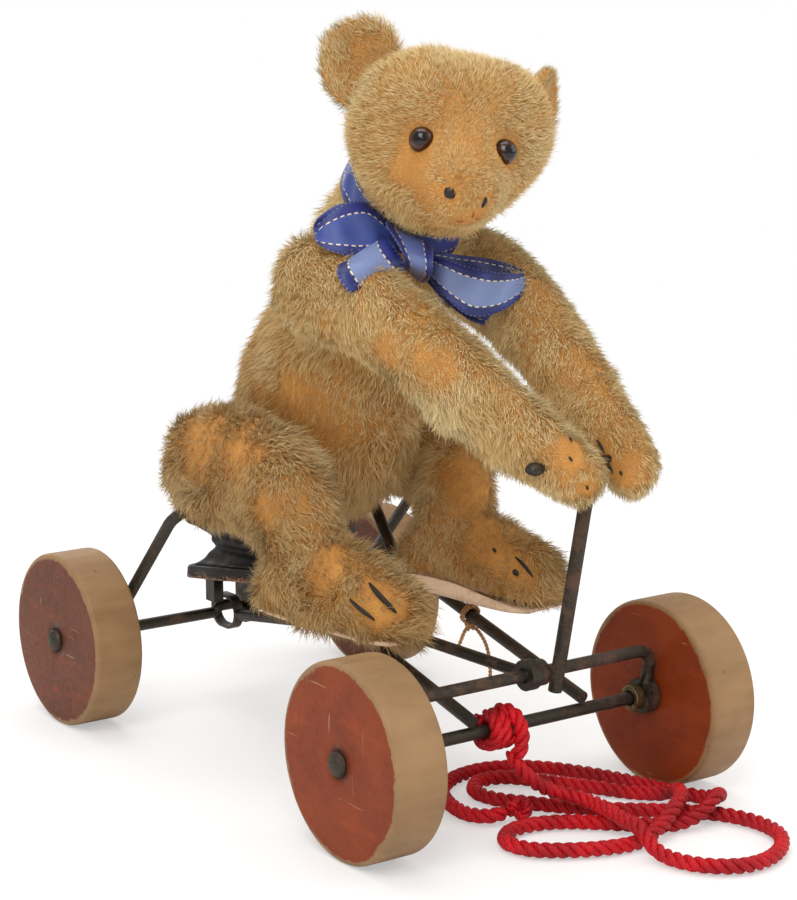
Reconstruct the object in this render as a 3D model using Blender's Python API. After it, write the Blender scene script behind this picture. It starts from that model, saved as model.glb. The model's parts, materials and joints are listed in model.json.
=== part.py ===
"""Jointed teddy bear riding a four-wheeled pull cart, as one assembly of separate parts.

Metres, +Z up. The toy faces -Y, the bear's right side is -X, and the wheels stand on Z = 0.
"""
from math import atan2, cos, exp, pi, radians, sin, sqrt

import bmesh
import bpy
from mathutils import Matrix, Vector

# Running and seating gaps
GAP = 0.0003  # between pieces that touch
TURN_GAP = 0.0005  # between a soft piece and the bar that it turns on

# Everything is laid out from the middle between the axles, then moved so that the origin is under the
# middle of the toy's whole length
ORIGIN_SHIFT = 0.0022

# Wheels
WHEEL_RADIUS = 0.031
WHEEL_THICKNESS = 0.0182
WHEEL_EDGE = 0.0016  # rounding of the wooden edge
FRONT_TRACK_HALF = 0.0704  # middle of the cart to a front wheel's outer face
REAR_TRACK_HALF = 0.0738
WHEELBASE = 0.175
FRONT_AXLE_Y = -WHEELBASE / 2
REAR_AXLE_Y = WHEELBASE / 2
AXLE_Z = WHEEL_RADIUS

# Wire and rods
ROD_RADIUS = 0.0021
LEVER_RADIUS = 0.0023
AXLE_DOME_RADIUS = 0.0041
AXLE_DOME_HEIGHT = 0.0024
WASHER_THICKNESS = 0.0008
WASHER_RADIUS = 0.0056
EYE_RADIUS = 0.0058  # outside of the eyes bent in the rods
EYE_WIDTH = 0.0036
COLLAR_RADIUS = 0.0042
COLLAR_WIDTH = 0.0036

# Rails, from the front axle up to the rear bail
RAIL_FRONT_X = 0.022
RAIL_REAR_X = 0.028
RAIL_REST_Z = 0.0565  # height under the bear's heels
RAIL_REST_FRONT_Y = -0.006
RAIL_REST_REAR_Y = 0.009
RAIL_BEND = 0.006

# Rear bail: two legs on the rear axle and the bar that the bear sits over
HIP_Y = 0.037
HIP_Z = 0.084
BAIL_BEND = 0.008

# Swinging front bail, lever and handlebar
SWING_BAR_Y = FRONT_AXLE_Y - 0.005
SWING_BAR_Z = 0.048
SWING_BEND = 0.007
LEVER_X = 0.0053
LEVER_LAP = 0.0045  # how far the lever's foot reaches below the bail's bar
LEVER_HEADROOM = 0.0004  # beside the usual gap, between the lever's head and the handlebar
HANDLE_X = 0.0080
HANDLE_Y = -0.1098
HANDLE_Z = 0.1172
HANDLE_HALF = 0.0222
HANDLE_RADIUS = 0.0018
HANDLE_BALL_RADIUS = 0.0032
PAW_CLEARANCE = 0.0015

# Crank and connecting rod
CRANK_THROW = 0.0022
CRANK_X = -0.0026
CRANK_PIN_HALF = 0.0032
CRANK_WEB = 0.0026
CRANK_BEND = 0.001
ROD_KNEE_Y = -0.025
ROD_KNEE_Z = 0.0470
ROD_KNEE_BEND = 0.03
ROD_SLIM = 0.96  # the connecting rod's radius beside the other rods'
STRAP_WALL = 0.0012
SWING_LIFT = 0.0007  # rise and fall of the rod as the bail swings

# Bellows squeaker under the seat
BOARD_HALF_WIDTH = 0.0205
BOARD_OVERHANG = 0.003  # of the boards' rear edges behind the rear axle, which carries them
BOARD_LENGTH = 0.059
BOARD_REAR_Y = REAR_AXLE_Y + BOARD_OVERHANG
BOARD_FRONT_Y = BOARD_REAR_Y - BOARD_LENGTH
BOARD_CORNER = 0.006
LOWER_BOARD_Z = 0.0455  # underside, at the rear edge
LOWER_BOARD_THICKNESS = 0.005
LOWER_BOARD_TILT = radians(8.5)
UPPER_BOARD_Z = 0.0668
UPPER_BOARD_THICKNESS = 0.0048
LEATHER_INSET = 0.0015
LEATHER_WAIST = 0.0055
LEATHER_END_INSET = 0.001  # more of it at the front and the rear
HANGER_X = 0.0060
HANGER_TRIM = 0.0004  # off the cheek's right face, beside an eye's width
HANGER_PLATE = 0.0020
HANGER_RIGHT_X = -0.0105
HANGER_LEFT_X = 0.0125
HANGER_FRONT = 0.0124  # reach of the plate in front of the rear axle
HANGER_REAR = 0.00248
TAB_WIDTH = 0.0040
TAB_FRONT = 0.004  # reach of the tab in front of the rear axle
TAB_REAR = 0.002
TAB_RISE = 0.0048  # of its lower end above the axle's middle

# Torso, as level sections from the seat to the neck: middle x, middle y, height, half width, half depth
TORSO_SECTIONS = (
    (0.000, 0.0480, 0.0735, 0.0120, 0.0200),
    (0.000, 0.0450, 0.0785, 0.0180, 0.0300),
    (0.000, 0.0400, 0.0860, 0.0212, 0.0370),
    (0.000, 0.0320, 0.0980, 0.0217, 0.0410),
    (0.000, 0.0245, 0.1120, 0.0240, 0.0420),
    (0.000, 0.0190, 0.1260, 0.0262, 0.0410),
    (0.000, 0.0130, 0.1416, 0.0238, 0.0380),
    (0.000, 0.0040, 0.1570, 0.0203, 0.0340),
    (0.001, -0.0060, 0.1726, 0.0188, 0.0305),
    (0.002, -0.0130, 0.1840, 0.0178, 0.0280),
    (0.002, -0.0190, 0.1940, 0.0165, 0.0240),
    (0.002, -0.0230, 0.2020, 0.0150, 0.0190),
    (0.002, -0.0250, 0.2090, 0.0125, 0.0150),
)
DISC_THICKNESS = 0.0012

# Neck and head
NECK = Vector((0.0015, -0.0320, 0.1915))
NECK_LEAN = radians(38)  # the neck joint faces up and forwards
NECK_DISC_RADIUS = 0.0125
HEAD_YAW = radians(-25.5)
HEAD_PITCH = radians(-5.7)
HEAD_ROLL = radians(9.2)
HEAD_CENTRE = Vector((0.0013, -0.0457, 0.2091))  # in the cart's frame
HEAD_HALF_WIDTH = 0.0320
HEAD_HALF_DEPTH = 0.0262
HEAD_HALF_HEIGHT = 0.0283
CROWN_SQUARENESS = 0.75  # how far the crown departs from an ellipse
MUZZLE_LENGTH = 0.0178
MUZZLE_SPREAD = radians(25)
MUZZLE_DROP = radians(25)
JAW_SPREAD = radians(30)
LEFT_JAW = (Vector((0.8, 0.0, -0.6)), 0.0058)
RIGHT_JAW = (Vector((-0.8, 0.0, -0.6)), 0.0014)
EYE_X = 0.0127  # from the head's centre, in the head's own frame
EYE_Y = -0.0247
EYE_Z = -0.0012
EYE_BALL_RADIUS = 0.0040
EAR_HALF_WIDTH = 0.0120
EAR_HALF_HEIGHT = 0.0140
EAR_HALF_DEPTH = 0.0034
EAR_HOLLOW = 0.0026
RIGHT_EAR = Vector((-0.0305, 0.0040, 0.0215))
RIGHT_EAR_TURN = radians(-14)
LEFT_EAR = Vector((0.0300, 0.0040, 0.0150))  # the worn left ear has slipped down and lies nearly edge on
LEFT_EAR_TURN = radians(62)

# Arms: middle y, height, half width, half thickness, from shoulder to paw. X runs from shoulder to paw.
SHOULDER_X = 0.0310
SHOULDER_Y = -0.0220
SHOULDER_Z = 0.1630
ARM_SECTIONS = (
    (-0.0200, 0.1640, 0.0105, 0.0160),
    (-0.0340, 0.1615, 0.0115, 0.0158),
    (-0.0550, 0.1520, 0.0118, 0.0145),
    (-0.0750, 0.1390, 0.0112, 0.0128),
    (-0.0930, 0.1275, 0.0100, 0.0116),
    (-0.1070, 0.1190, 0.0086, 0.0108),
    (-0.1130, 0.1150, 0.0076, 0.0100),
)
RIGHT_PAW_X = -0.0030
LEFT_PAW_X = 0.0206
PIN_RADIUS = 0.0012
PIN_REACH = 0.006  # how far a joint pin goes into the stuffing on each side
SHOULDER_DISC_RADIUS = 0.009
SHOULDER_FLAT = 0.012  # half width of the torso's flat side
ARM_FLAT = 0.024  # half width of an arm's flat side

# Legs: middle y, height, half width, half thickness, from hip to ankle
LEG_SECTIONS = (
    (0.0400, 0.0985, 0.0125, 0.0185),
    (0.0220, 0.0995, 0.0135, 0.0205),
    (0.0040, 0.0985, 0.0135, 0.0200),
    (-0.0120, 0.0920, 0.0130, 0.0185),
    (-0.0180, 0.0835, 0.0125, 0.0165),
    (-0.0188, 0.0768, 0.0118, 0.0148),
)
RIGHT_LEG_X = (-0.0376, -0.0376, -0.0376, -0.0374, -0.0374, -0.0374)
LEFT_LEG_X = (0.0376, 0.0378, 0.0338, 0.0280, 0.0242, 0.0218)
# Feet: share of the foot's length from heel to toe, half width, height above the sole
FOOT_SECTIONS = (
    (0.03, 0.0070, 0.0120),
    (0.14, 0.0110, 0.0200),
    (0.32, 0.0122, 0.0270),
    (0.52, 0.0124, 0.0265),
    (0.72, 0.0126, 0.0230),
    (0.88, 0.0115, 0.0180),
    (0.97, 0.0075, 0.0120),
)
RIGHT_HEEL_Y = 0.000
RIGHT_TOE_Y = -0.0705
LEFT_HEEL_Y = 0.003
LEFT_TOE_Y = -0.0690
RIGHT_HEEL_X = -0.0400
RIGHT_TOE_X = -0.0310
LEFT_HEEL_X = 0.0190
LEFT_TOE_X = 0.0270
SOLE_THICKNESS = 0.0014
LEFT_SOLE_Z = RAIL_REST_Z + ROD_RADIUS + GAP
RIGHT_SOLE_Z = 0.0570
HIP_DISC_RADIUS = 0.011
HIP_FACE_X = 0.0221  # inner face of the hip discs
HIP_FLAT_EDGE = 0.0015  # of a leg's flat side round its disc
SOLE_INSET = 0.93  # a sole's width beside its foot's

# Ribbon
RIBBON_WIDTH = 0.0100
RIBBON_THICKNESS = 0.0012
RIBBON_HALF_WIDTH = 0.0184  # of the band's inner side, at its lower edge
RIBBON_HALF_DEPTH = 0.0231
RIBBON_TAPER = 0.0010
RIBBON_SHIFT = 0.0076  # backwards along the joint's face
RIBBON_SINK = 0.001  # of its upper edge below the joint
BOW_THICKNESS = 0.0026
BOW_KNOT = Vector((-0.0060, -0.0409, 0.1693))
BOW_RIGHT_END = Vector((-0.0290, -0.0500, 0.1862))
BOW_LEFT_END = Vector((0.0150, -0.0640, 0.1650))
BOW_TAIL_END = Vector((-0.0230, -0.0620, 0.1785))
BOW_RIGHT_SIZE = (0.0038, 0.0052)  # half widths of a loop at the knot and at its end
BOW_LEFT_SIZE = (0.0042, 0.0070)
BOW_TAIL_SIZE = (0.0036, 0.0042)
BOW_KNOT_RADIUS = 0.0056

# Twine
TWINE_DIAMETER = 0.0014
TWINE_Y = -0.030
TWINE_ROUTE = (  # one tail's tip, over the knot under the rail, to the other tail's tip
    (0.0155, -0.0305, 0.0372),
    (0.0182, -0.0300, 0.0415),
    (0.0205, -0.0296, 0.0449),
    (0.0222, -0.0300, 0.0461),
    (0.0238, -0.0315, 0.0452),
    (0.0250, -0.0348, 0.0410),
    (0.0254, -0.0368, 0.0350),
    (0.0256, -0.0368, 0.0280),
)

# Pull rope
ROPE_DIAMETER = 0.0048
KNOT_X = -0.0120
ROPE_EXIT_SIDE = 0.003  # where the rope leaves the knot, beside its middle
KNOT_HALF_WIDTH = 0.0066
KNOT_RADIUS = 0.0072
KNOT_OUTLINE = (  # share of the half width, share of the radius
    (-1.0, 0.62), (-0.78, 0.92), (-0.45, 1.0), (-0.1, 0.86), (0.25, 1.0), (0.7, 0.94), (1.0, 0.62),
)
KNOT_LEAVES = Vector((0.1, -0.50, -0.866))  # the way the rope leaves the knot
END_KNOT = Vector((-0.0052, -0.0925, 0.0050))
END_KNOT_RADIUS = 0.0046
LOW = 0.0028  # the rope's middle where it lies on the floor
HIGH = 0.0083  # and where it lies over another turn
ROPE_ROUTE = (
    (-0.0078, -0.0936, 0.0204), (-0.0030, -0.0962, 0.0146), (0.0030, -0.0975, 0.0106),
    (0.0080, -0.1000, 0.0087),
    (0.0105, -0.1060, HIGH), (0.0102, -0.1150, HIGH), (0.0085, -0.1250, HIGH), (0.0072, -0.1340, 0.0080),
    (0.0068, -0.1430, 0.0036), (0.0082, -0.1520, LOW), (0.0130, -0.1605, LOW), (0.0215, -0.1658, LOW),
    (0.0315, -0.1655, LOW), (0.0410, -0.1605, LOW), (0.0480, -0.1525, LOW), (0.0500, -0.1430, LOW),
    (0.0480, -0.1330, LOW), (0.0430, -0.1250, LOW), (0.0360, -0.1180, LOW), (0.0280, -0.1110, LOW),
    (0.0190, -0.1030, LOW), (0.0110, -0.0940, LOW), (0.0040, -0.0850, LOW), (-0.0020, -0.0760, LOW),
    (-0.0030, -0.0660, LOW), (0.0035, -0.0590, LOW), (0.0125, -0.0600, LOW), (0.0195, -0.0680, LOW),
    (0.0260, -0.0780, LOW), (0.0320, -0.0880, LOW), (0.0375, -0.0970, LOW), (0.0415, -0.1055, 0.0040),
    (0.0415, -0.1135, 0.0077), (0.0365, -0.1205, HIGH), (0.0290, -0.1265, 0.0086), (0.0195, -0.1305, 0.0052),
    (0.0090, -0.1322, LOW), (-0.0020, -0.1305, LOW), (-0.0125, -0.1255, LOW), (-0.0215, -0.1180, LOW),
    (-0.0235, -0.1085, LOW), (-0.0170, -0.1020, LOW), (-0.0070, -0.1015, LOW), (0.0030, -0.1060, LOW),
    (0.0115, -0.1135, LOW), (0.0195, -0.1210, LOW), (0.0280, -0.1270, LOW), (0.0365, -0.1295, 0.0052),
    (0.0445, -0.1280, 0.0088), (0.0510, -0.1225, 0.0062), (0.0525, -0.1140, 0.0030), (0.0490, -0.1050, LOW),
    (0.0460, -0.0950, LOW), (0.0425, -0.0845, LOW), (0.0375, -0.0730, LOW), (0.0310, -0.0620, LOW),
    (0.0220, -0.0535, LOW), (0.0110, -0.0495, LOW), (-0.0010, -0.0515, LOW), (-0.0110, -0.0590, LOW),
    (-0.0165, -0.0700, LOW), (-0.0180, -0.0810, LOW), (-0.0150, -0.0890, 0.0036),
)
ROPE_POINTS = 80

# How far the cutting helpers reach past what they cut
CUT_REACH = 0.06
NECK_CUT = 0.04
NECK_CUT_RADIUS = 0.05
NECK_HOLE_REACH = 0.01

# Facets
ROD_SIDES = 10
WHEEL_SIDES = 36
RING_SIDES = 20
SOFT_SIDES = 16


def clear_scene():
    for thing in list(bpy.data.objects):
        bpy.data.objects.remove(thing, do_unlink=True)


def surface(name, colour, roughness, metallic=0.0):
    """A plain material in the piece's own colour."""
    mat = bpy.data.materials.new(name)
    mat.use_nodes = True
    shader = mat.node_tree.nodes["Principled BSDF"]
    shader.inputs["Base Color"].default_value = (*colour, 1.0)
    shader.inputs["Roughness"].default_value = roughness
    shader.inputs["Metallic"].default_value = metallic
    return mat


def add_object(name, bm, colour, roughness=0.8, metallic=0.0, parent=None):
    """Turn a bmesh into a named object with its own material, under its parent where it has one."""
    bmesh.ops.recalc_face_normals(bm, faces=bm.faces)
    mesh = bpy.data.meshes.new(name)
    bm.to_mesh(mesh)
    bm.free()
    mesh.shade_smooth()
    mesh.set_sharp_from_angle(angle=radians(35))
    thing = bpy.data.objects.new(name, mesh)
    thing.data.materials.append(surface(name, colour, roughness, metallic))
    bpy.context.scene.collection.objects.link(thing)
    thing.parent = parent
    return thing


def pivot(name, place, turn=(0, 0, 0)):
    """An empty on a joint's axis, to carry the pieces that move together."""
    empty = bpy.data.objects.new(name, None)
    empty.empty_display_size = 0.01
    empty.location = place
    empty.rotation_euler = turn
    bpy.context.scene.collection.objects.link(empty)
    bpy.context.view_layer.update()
    return empty


def carry(thing, parent):
    """Put a piece modelled in the cart's frame under a pivot, where it stays in place."""
    thing.parent = parent
    thing.matrix_parent_inverse = parent.matrix_world.inverted()


def helper(bm, name):
    """A hidden solid that only cuts or joins."""
    thing = add_object(name, bm, (0.8, 0.1, 0.1))
    thing.hide_render = True
    thing.display_type = "WIRE"
    return thing


def boolean(thing, tool, operation):
    mod = thing.modifiers.new(f"{operation.lower()}_{tool.name}", "BOOLEAN")
    mod.operation = operation
    mod.solver = "EXACT"
    mod.object = tool


def skin(bm, rings, closed=False):
    """Join rings of points with faces. Open ends are closed by a point in the middle of the last ring."""
    made = [[bm.verts.new(p) for p in ring] for ring in rings]
    pairs = list(zip(made, made[1:]))
    if closed:
        pairs.append((made[-1], made[0]))
    for low, high in pairs:
        count = len(low)
        for i in range(count):
            j = (i + 1) % count
            bm.faces.new((low[i], low[j], high[j], high[i]))
    if not closed:
        for ring, turned in ((made[0], True), (made[-1], False)):
            middle = bm.verts.new(sum((v.co for v in ring), Vector()) / len(ring))
            for i in range(len(ring)):
                j = (i + 1) % len(ring)
                bm.faces.new((middle, ring[j], ring[i]) if turned else (middle, ring[i], ring[j]))
    return bm


def frames_along(points):
    """A direction and two side vectors at each point of a path, turned as little as possible."""
    points = [Vector(p) for p in points]
    ways = []
    for i in range(len(points)):
        before = points[max(i - 1, 0)]
        after = points[min(i + 1, len(points) - 1)]
        ways.append((after - before).normalized())
    side = ways[0].orthogonal().normalized()
    out = []
    for point, way in zip(points, ways):
        side = (side - way * side.dot(way)).normalized()
        out.append((point, way, side, way.cross(side)))
    return out


def tube(bm, points, radius, sides=ROD_SIDES):
    """A round rod along a path, with flat ends."""
    rings = []
    for point, _, u, v in frames_along(points):
        rings.append([point + radius * (cos(a) * u + sin(a) * v) for a in angles(sides)])
    return skin(bm, rings)


def angles(count):
    return [2 * pi * i / count for i in range(count)]


def bent(corners, bend, steps=5):
    """A path through corners, each rounded to the bend radius."""
    corners = [Vector(c) for c in corners]
    path = [corners[0]]
    for before, corner, after in zip(corners, corners[1:], corners[2:]):
        into = (corner - before).normalized()
        out = (after - corner).normalized()
        half = into.angle(out) / 2
        if half < radians(0.5):
            path.append(corner)
            continue
        reach = bend * (sin(half) / cos(half))
        start = corner - into * reach
        inward = (out - into).normalized()
        centre = corner + inward * (bend / cos(half))
        arm = start - centre
        axis = into.cross(out).normalized()
        for i in range(steps + 1):
            path.append(centre + Matrix.Rotation(2 * half * i / steps, 3, axis) @ arm)
    path.append(corners[-1])
    return path


def smooth(points, steps):
    """Catmull-Rom curve through the points, with the same number of steps in each stretch."""
    pts = [Vector(p) for p in points]
    pts = [2 * pts[0] - pts[1], *pts, 2 * pts[-1] - pts[-2]]
    out = []
    for a, b, c, d in zip(pts, pts[1:], pts[2:], pts[3:]):
        for i in range(steps):
            t = i / steps
            out.append(0.5 * (2 * b + (c - a) * t + (2 * a - 5 * b + 4 * c - d) * t * t
                              + (3 * b - a - 3 * c + d) * t ** 3))
    out.append(pts[-2])
    return out


def evenly(points, count):
    """The same path with evenly spaced points."""
    lengths = [0.0]
    for a, b in zip(points, points[1:]):
        lengths.append(lengths[-1] + (b - a).length)
    out, k = [], 0
    for i in range(count):
        want = lengths[-1] * i / (count - 1)
        while k < len(points) - 2 and lengths[k + 1] < want:
            k += 1
        share = (want - lengths[k]) / (lengths[k + 1] - lengths[k])
        out.append(points[k].lerp(points[k + 1], min(share, 1.0)))
    return out


def turned(bm, profile, place, sides=RING_SIDES, on_a_flat=False):
    """A solid turned about an X axis through place. The profile is a closed loop of (x, radius).

    On a flat, the facets' middles lie at the stated radius and one facet faces straight down.
    """
    turn = pi / sides if on_a_flat else 0.0
    grow = 1 / cos(pi / sides) if on_a_flat else 1.0
    rings = [[Vector((place[0] + x, place[1] + r * grow * cos(a + turn), place[2] + r * grow * sin(a + turn)))
              for x, r in profile] for a in angles(sides)]
    return skin(bm, rings, closed=True)


def ring(bm, x_low, x_high, r_in, r_out, y, z, sides=RING_SIDES):
    """A plain ring or bush about an X axis."""
    return turned(bm, ((x_low, r_in), (x_high, r_in), (x_high, r_out), (x_low, r_out)), (0, y, z), sides)


def turned_solid(bm, profile, y, z, sides=RING_SIDES):
    """A solid turning about an X axis, from one end's middle to the other's: (x, radius) between them."""
    rings = [[Vector((x, y + r * cos(a), z + r * sin(a))) for a in angles(sides)] for x, r in profile]
    return skin(bm, rings)


def dome_profile(x, way, reach):
    """The peened end of an axle: from its tip back to the face that bears on the washer."""
    steps = 4
    out = []
    for i in range(steps):
        a = (pi / 2) * (0.2 + 0.8 * i / (steps - 1))
        out.append((x + way * AXLE_DOME_HEIGHT * cos(a), AXLE_DOME_RADIUS * sin(a)))
    out.append((x - way * 0.0001, AXLE_DOME_RADIUS * 0.999))
    out.append((x - way * 0.0002, reach))
    return out


def outline_round(half_x, front_y, rear_y, corner, steps=4):
    """A level rectangle with round corners, as (x, y) points."""
    out = []
    middles = ((half_x - corner, rear_y - corner, 0), (corner - half_x, rear_y - corner, pi / 2),
               (corner - half_x, front_y + corner, pi), (half_x - corner, front_y + corner, 3 * pi / 2))
    for x, y, start in middles:
        for i in range(steps + 1):
            a = start + (pi / 2) * i / steps
            out.append((x + corner * cos(a), y + corner * sin(a)))
    return out


def stadium(centre_y, centre_z, reach_y, reach_z, radius, sides=RING_SIDES):
    """A circle in the YZ plane, stretched by reach on both sides of its middle."""
    out = []
    for a in angles(sides):
        a += pi / sides
        y = centre_y + radius * cos(a) + (reach_y if cos(a) > 0 else -reach_y)
        z = centre_z + radius * sin(a) + (reach_z if sin(a) > 0 else -reach_z)
        out.append((y, z))
    return out


def pierced_plate(bm, outer, inner, x_low, x_high):
    """A plate across X with a hole: two (y, z) outlines with the same number of points."""
    loops = []
    for outline, x in ((inner, x_low), (inner, x_high), (outer, x_high), (outer, x_low)):
        loops.append([Vector((x, y, z)) for y, z in outline])
    return skin(bm, loops, closed=True)


def block(bm, low, high):
    """A box from its lowest to its highest corner."""
    made = bmesh.ops.create_cube(bm, size=1.0)
    size = Vector(high) - Vector(low)
    middle = (Vector(high) + Vector(low)) / 2
    for v in made["verts"]:
        v.co = Vector((v.co.x * size.x, v.co.y * size.y, v.co.z * size.z)) + middle
    return bm


def capped(sections):
    """Add rounded ends to sections of (centre, half width, half thickness)."""
    out = list(sections)
    for end, inner in ((0, 1), (-1, -2)):
        centre, a, b = out[end]
        way = (Vector(centre) - Vector(out[inner][0])).normalized()
        extra = [(Vector(centre) + way * b * reach, a * scale, b * scale) for reach, scale in
                 ((0.45, 0.89), (0.78, 0.62), (0.95, 0.30))]
        out = list(reversed(extra)) + out if end == 0 else out + extra
    return out


def limb(bm, sections, steps=2, sides=SOFT_SIDES):
    """A stuffed limb through sections of (centre, half width, half thickness), near a YZ plane."""
    data = capped(sections)
    centres = smooth([s[0] for s in data], steps)
    halves = smooth([(s[1], s[2], 0) for s in data], steps)
    rings = []
    for i, (centre, half) in enumerate(zip(centres, halves)):
        way = centres[min(i + 1, len(centres) - 1)] - centres[max(i - 1, 0)]
        across = Vector((0, -way.z, way.y)).normalized()
        rings.append([centre + Vector((1, 0, 0)) * half.x * cos(a) + across * half.y * sin(a)
                      for a in angles(sides)])
    return skin(bm, rings)


# Colours of the materials
PAINTED_WOOD = (0.36, 0.13, 0.05)
DARK_IRON = (0.075, 0.058, 0.045)
BRASS = (0.35, 0.28, 0.12)
LEATHERETTE = (0.035, 0.024, 0.020)
PLUSH = (0.50, 0.33, 0.15)
FELT = (0.62, 0.40, 0.27)
CARDBOARD = (0.42, 0.30, 0.18)
GLASS = (0.03, 0.012, 0.005)
RIBBON_BLUE = (0.08, 0.14, 0.42)
ROPE_RED = (0.55, 0.012, 0.02)
TWINE_TAN = (0.48, 0.31, 0.17)


def make_wheel(name, side, track_half, y, parent):
    """A flat wooden disc with rounded edges, bored for the axle."""
    bore = ROD_RADIUS + GAP
    outer_x = side * track_half
    inner_x = side * (track_half - WHEEL_THICKNESS)
    profile = [(inner_x, bore), (inner_x, WHEEL_RADIUS - WHEEL_EDGE)]
    for i in (1, 2):
        a = (pi / 2) * i / 3
        profile.append((inner_x + side * WHEEL_EDGE * (1 - cos(a)), WHEEL_RADIUS - WHEEL_EDGE * (1 - sin(a))))
    profile.append((inner_x + side * WHEEL_EDGE, WHEEL_RADIUS))
    profile.append((outer_x - side * WHEEL_EDGE, WHEEL_RADIUS))
    for i in (2, 1):
        a = (pi / 2) * i / 3
        profile.append((outer_x - side * WHEEL_EDGE * (1 - cos(a)), WHEEL_RADIUS - WHEEL_EDGE * (1 - sin(a))))
    profile += [(outer_x, WHEEL_RADIUS - WHEEL_EDGE), (outer_x, bore)]
    wheel = add_object(name, turned(bmesh.new(), profile, (0, y, AXLE_Z), WHEEL_SIDES, on_a_flat=True),
                       PAINTED_WOOD, 0.6)
    carry(wheel, parent)


def axle_end(track_half):
    """Where an axle's peened head starts, outside the wheel and its gap."""
    return track_half + GAP


def make_front_axle():
    end = axle_end(FRONT_TRACK_HALF)
    profile = dome_profile(-end, -1, ROD_RADIUS) + list(reversed(dome_profile(end, 1, ROD_RADIUS)))
    add_object("front_axle", turned_solid(bmesh.new(), profile, FRONT_AXLE_Y, AXLE_Z), DARK_IRON, 0.55, 0.8)
    eye_outer = FRONT_TRACK_HALF - WHEEL_THICKNESS - GAP - WASHER_THICKNESS - GAP
    bore = ROD_RADIUS + GAP
    for name, side in (("right", -1), ("left", 1)):
        face = side * (FRONT_TRACK_HALF - WHEEL_THICKNESS - GAP)
        bm = ring(bmesh.new(), face - side * WASHER_THICKNESS, face, bore, WASHER_RADIUS, FRONT_AXLE_Y,
                  AXLE_Z)
        add_object(f"front_washer_{name}", bm, DARK_IRON, 0.6, 0.7)
        face = side * (eye_outer - EYE_WIDTH - GAP)
        bm = ring(bmesh.new(), face - side * COLLAR_WIDTH, face, bore, COLLAR_RADIUS, FRONT_AXLE_Y, AXLE_Z)
        add_object(f"front_collar_{name}", bm, BRASS, 0.5, 0.8)


def rail_path(side):
    """From the top of the front axle, under the bear's heel, up to the underside of the rear bail's bar."""
    front = Vector((side * RAIL_FRONT_X, FRONT_AXLE_Y - ROD_RADIUS, AXLE_Z + 2 * ROD_RADIUS + GAP))
    rest_front = Vector((side * RAIL_FRONT_X, RAIL_REST_FRONT_Y, RAIL_REST_Z))
    rest_rear = Vector((side * RAIL_FRONT_X, RAIL_REST_REAR_Y, RAIL_REST_Z))
    top = Vector((side * RAIL_REAR_X, HIP_Y, HIP_Z - 2 * ROD_RADIUS - GAP))
    return bent((front, rest_front, rest_rear, top, top + Vector((0, 2 * ROD_RADIUS, 0))), RAIL_BEND)


def rail_height(y):
    """Height of a rail's middle at a place in front of the heels."""
    front_z = AXLE_Z + 2 * ROD_RADIUS + GAP
    front_y = FRONT_AXLE_Y - ROD_RADIUS
    return front_z + (RAIL_REST_Z - front_z) * (y - front_y) / (RAIL_REST_FRONT_Y - front_y)


def make_rails():
    for name, side in (("right", -1), ("left", 1)):
        add_object(f"rail_{name}", tube(bmesh.new(), rail_path(side), ROD_RADIUS), DARK_IRON, 0.55, 0.8)


def rear_leg_x():
    """Middle of the rear bail's eye, inside the wheel and its washer."""
    return REAR_TRACK_HALF - WHEEL_THICKNESS - 2 * GAP - WASHER_THICKNESS - EYE_WIDTH / 2


def rear_bail_path():
    leg = rear_leg_x()
    hip = Vector((0, HIP_Y, HIP_Z))
    axle = Vector((0, REAR_AXLE_Y, AXLE_Z))
    reach = (ROD_RADIUS + GAP + EYE_RADIUS) / 2
    foot = axle + (hip - axle).normalized() * reach
    right, left = Vector((-leg, 0, 0)), Vector((leg, 0, 0))
    return bent((foot + right, hip + right, hip + left, foot + left), BAIL_BEND)


def make_rear_bail():
    """One bent bar with an eye at each end for the rear axle."""
    bail = add_object("rear_bail", tube(bmesh.new(), rear_bail_path(), ROD_RADIUS), DARK_IRON, 0.55, 0.8)
    for name, side in (("right", -1), ("left", 1)):
        middle = side * rear_leg_x()
        eye = ring(bmesh.new(), middle - EYE_WIDTH / 2, middle + EYE_WIDTH / 2, ROD_RADIUS + GAP, EYE_RADIUS,
                   REAR_AXLE_Y, AXLE_Z)
        boolean(bail, helper(eye, f"rear_eye_{name}"), "UNION")
        face = side * (REAR_TRACK_HALF - WHEEL_THICKNESS - GAP)
        washer = ring(bmesh.new(), face - side * WASHER_THICKNESS, face, ROD_RADIUS + GAP, WASHER_RADIUS,
                      REAR_AXLE_Y, AXLE_Z)
        add_object(f"rear_washer_{name}", washer, DARK_IRON, 0.6, 0.7)


def make_rear_axle(parent):
    """The turning axle, bent into a small crank in the middle, with a peened head at each end."""
    end = axle_end(REAR_TRACK_HALF)
    y, z = REAR_AXLE_Y, AXLE_Z
    left, right = CRANK_X - CRANK_PIN_HALF, CRANK_X + CRANK_PIN_HALF
    path = [(-end, y, z), (left - CRANK_WEB, y, z), (left, y, z + CRANK_THROW), (right, y, z + CRANK_THROW),
            (right + CRANK_WEB, y, z), (end, y, z)]
    shape = tube(bmesh.new(), bent(path, CRANK_BEND, 2), ROD_RADIUS)
    axle = add_object("rear_axle", shape, DARK_IRON, 0.55, 0.8)
    for name, side in (("right", -1), ("left", 1)):
        bm = turned_solid(bmesh.new(), dome_profile(side * end, side, ROD_RADIUS * 0.6), y, z)
        boolean(axle, helper(bm, f"rear_head_{name}"), "UNION")
    carry(axle, parent)


def swing_leg_x():
    return FRONT_TRACK_HALF - WHEEL_THICKNESS - 2 * GAP - WASHER_THICKNESS - EYE_WIDTH / 2


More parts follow.
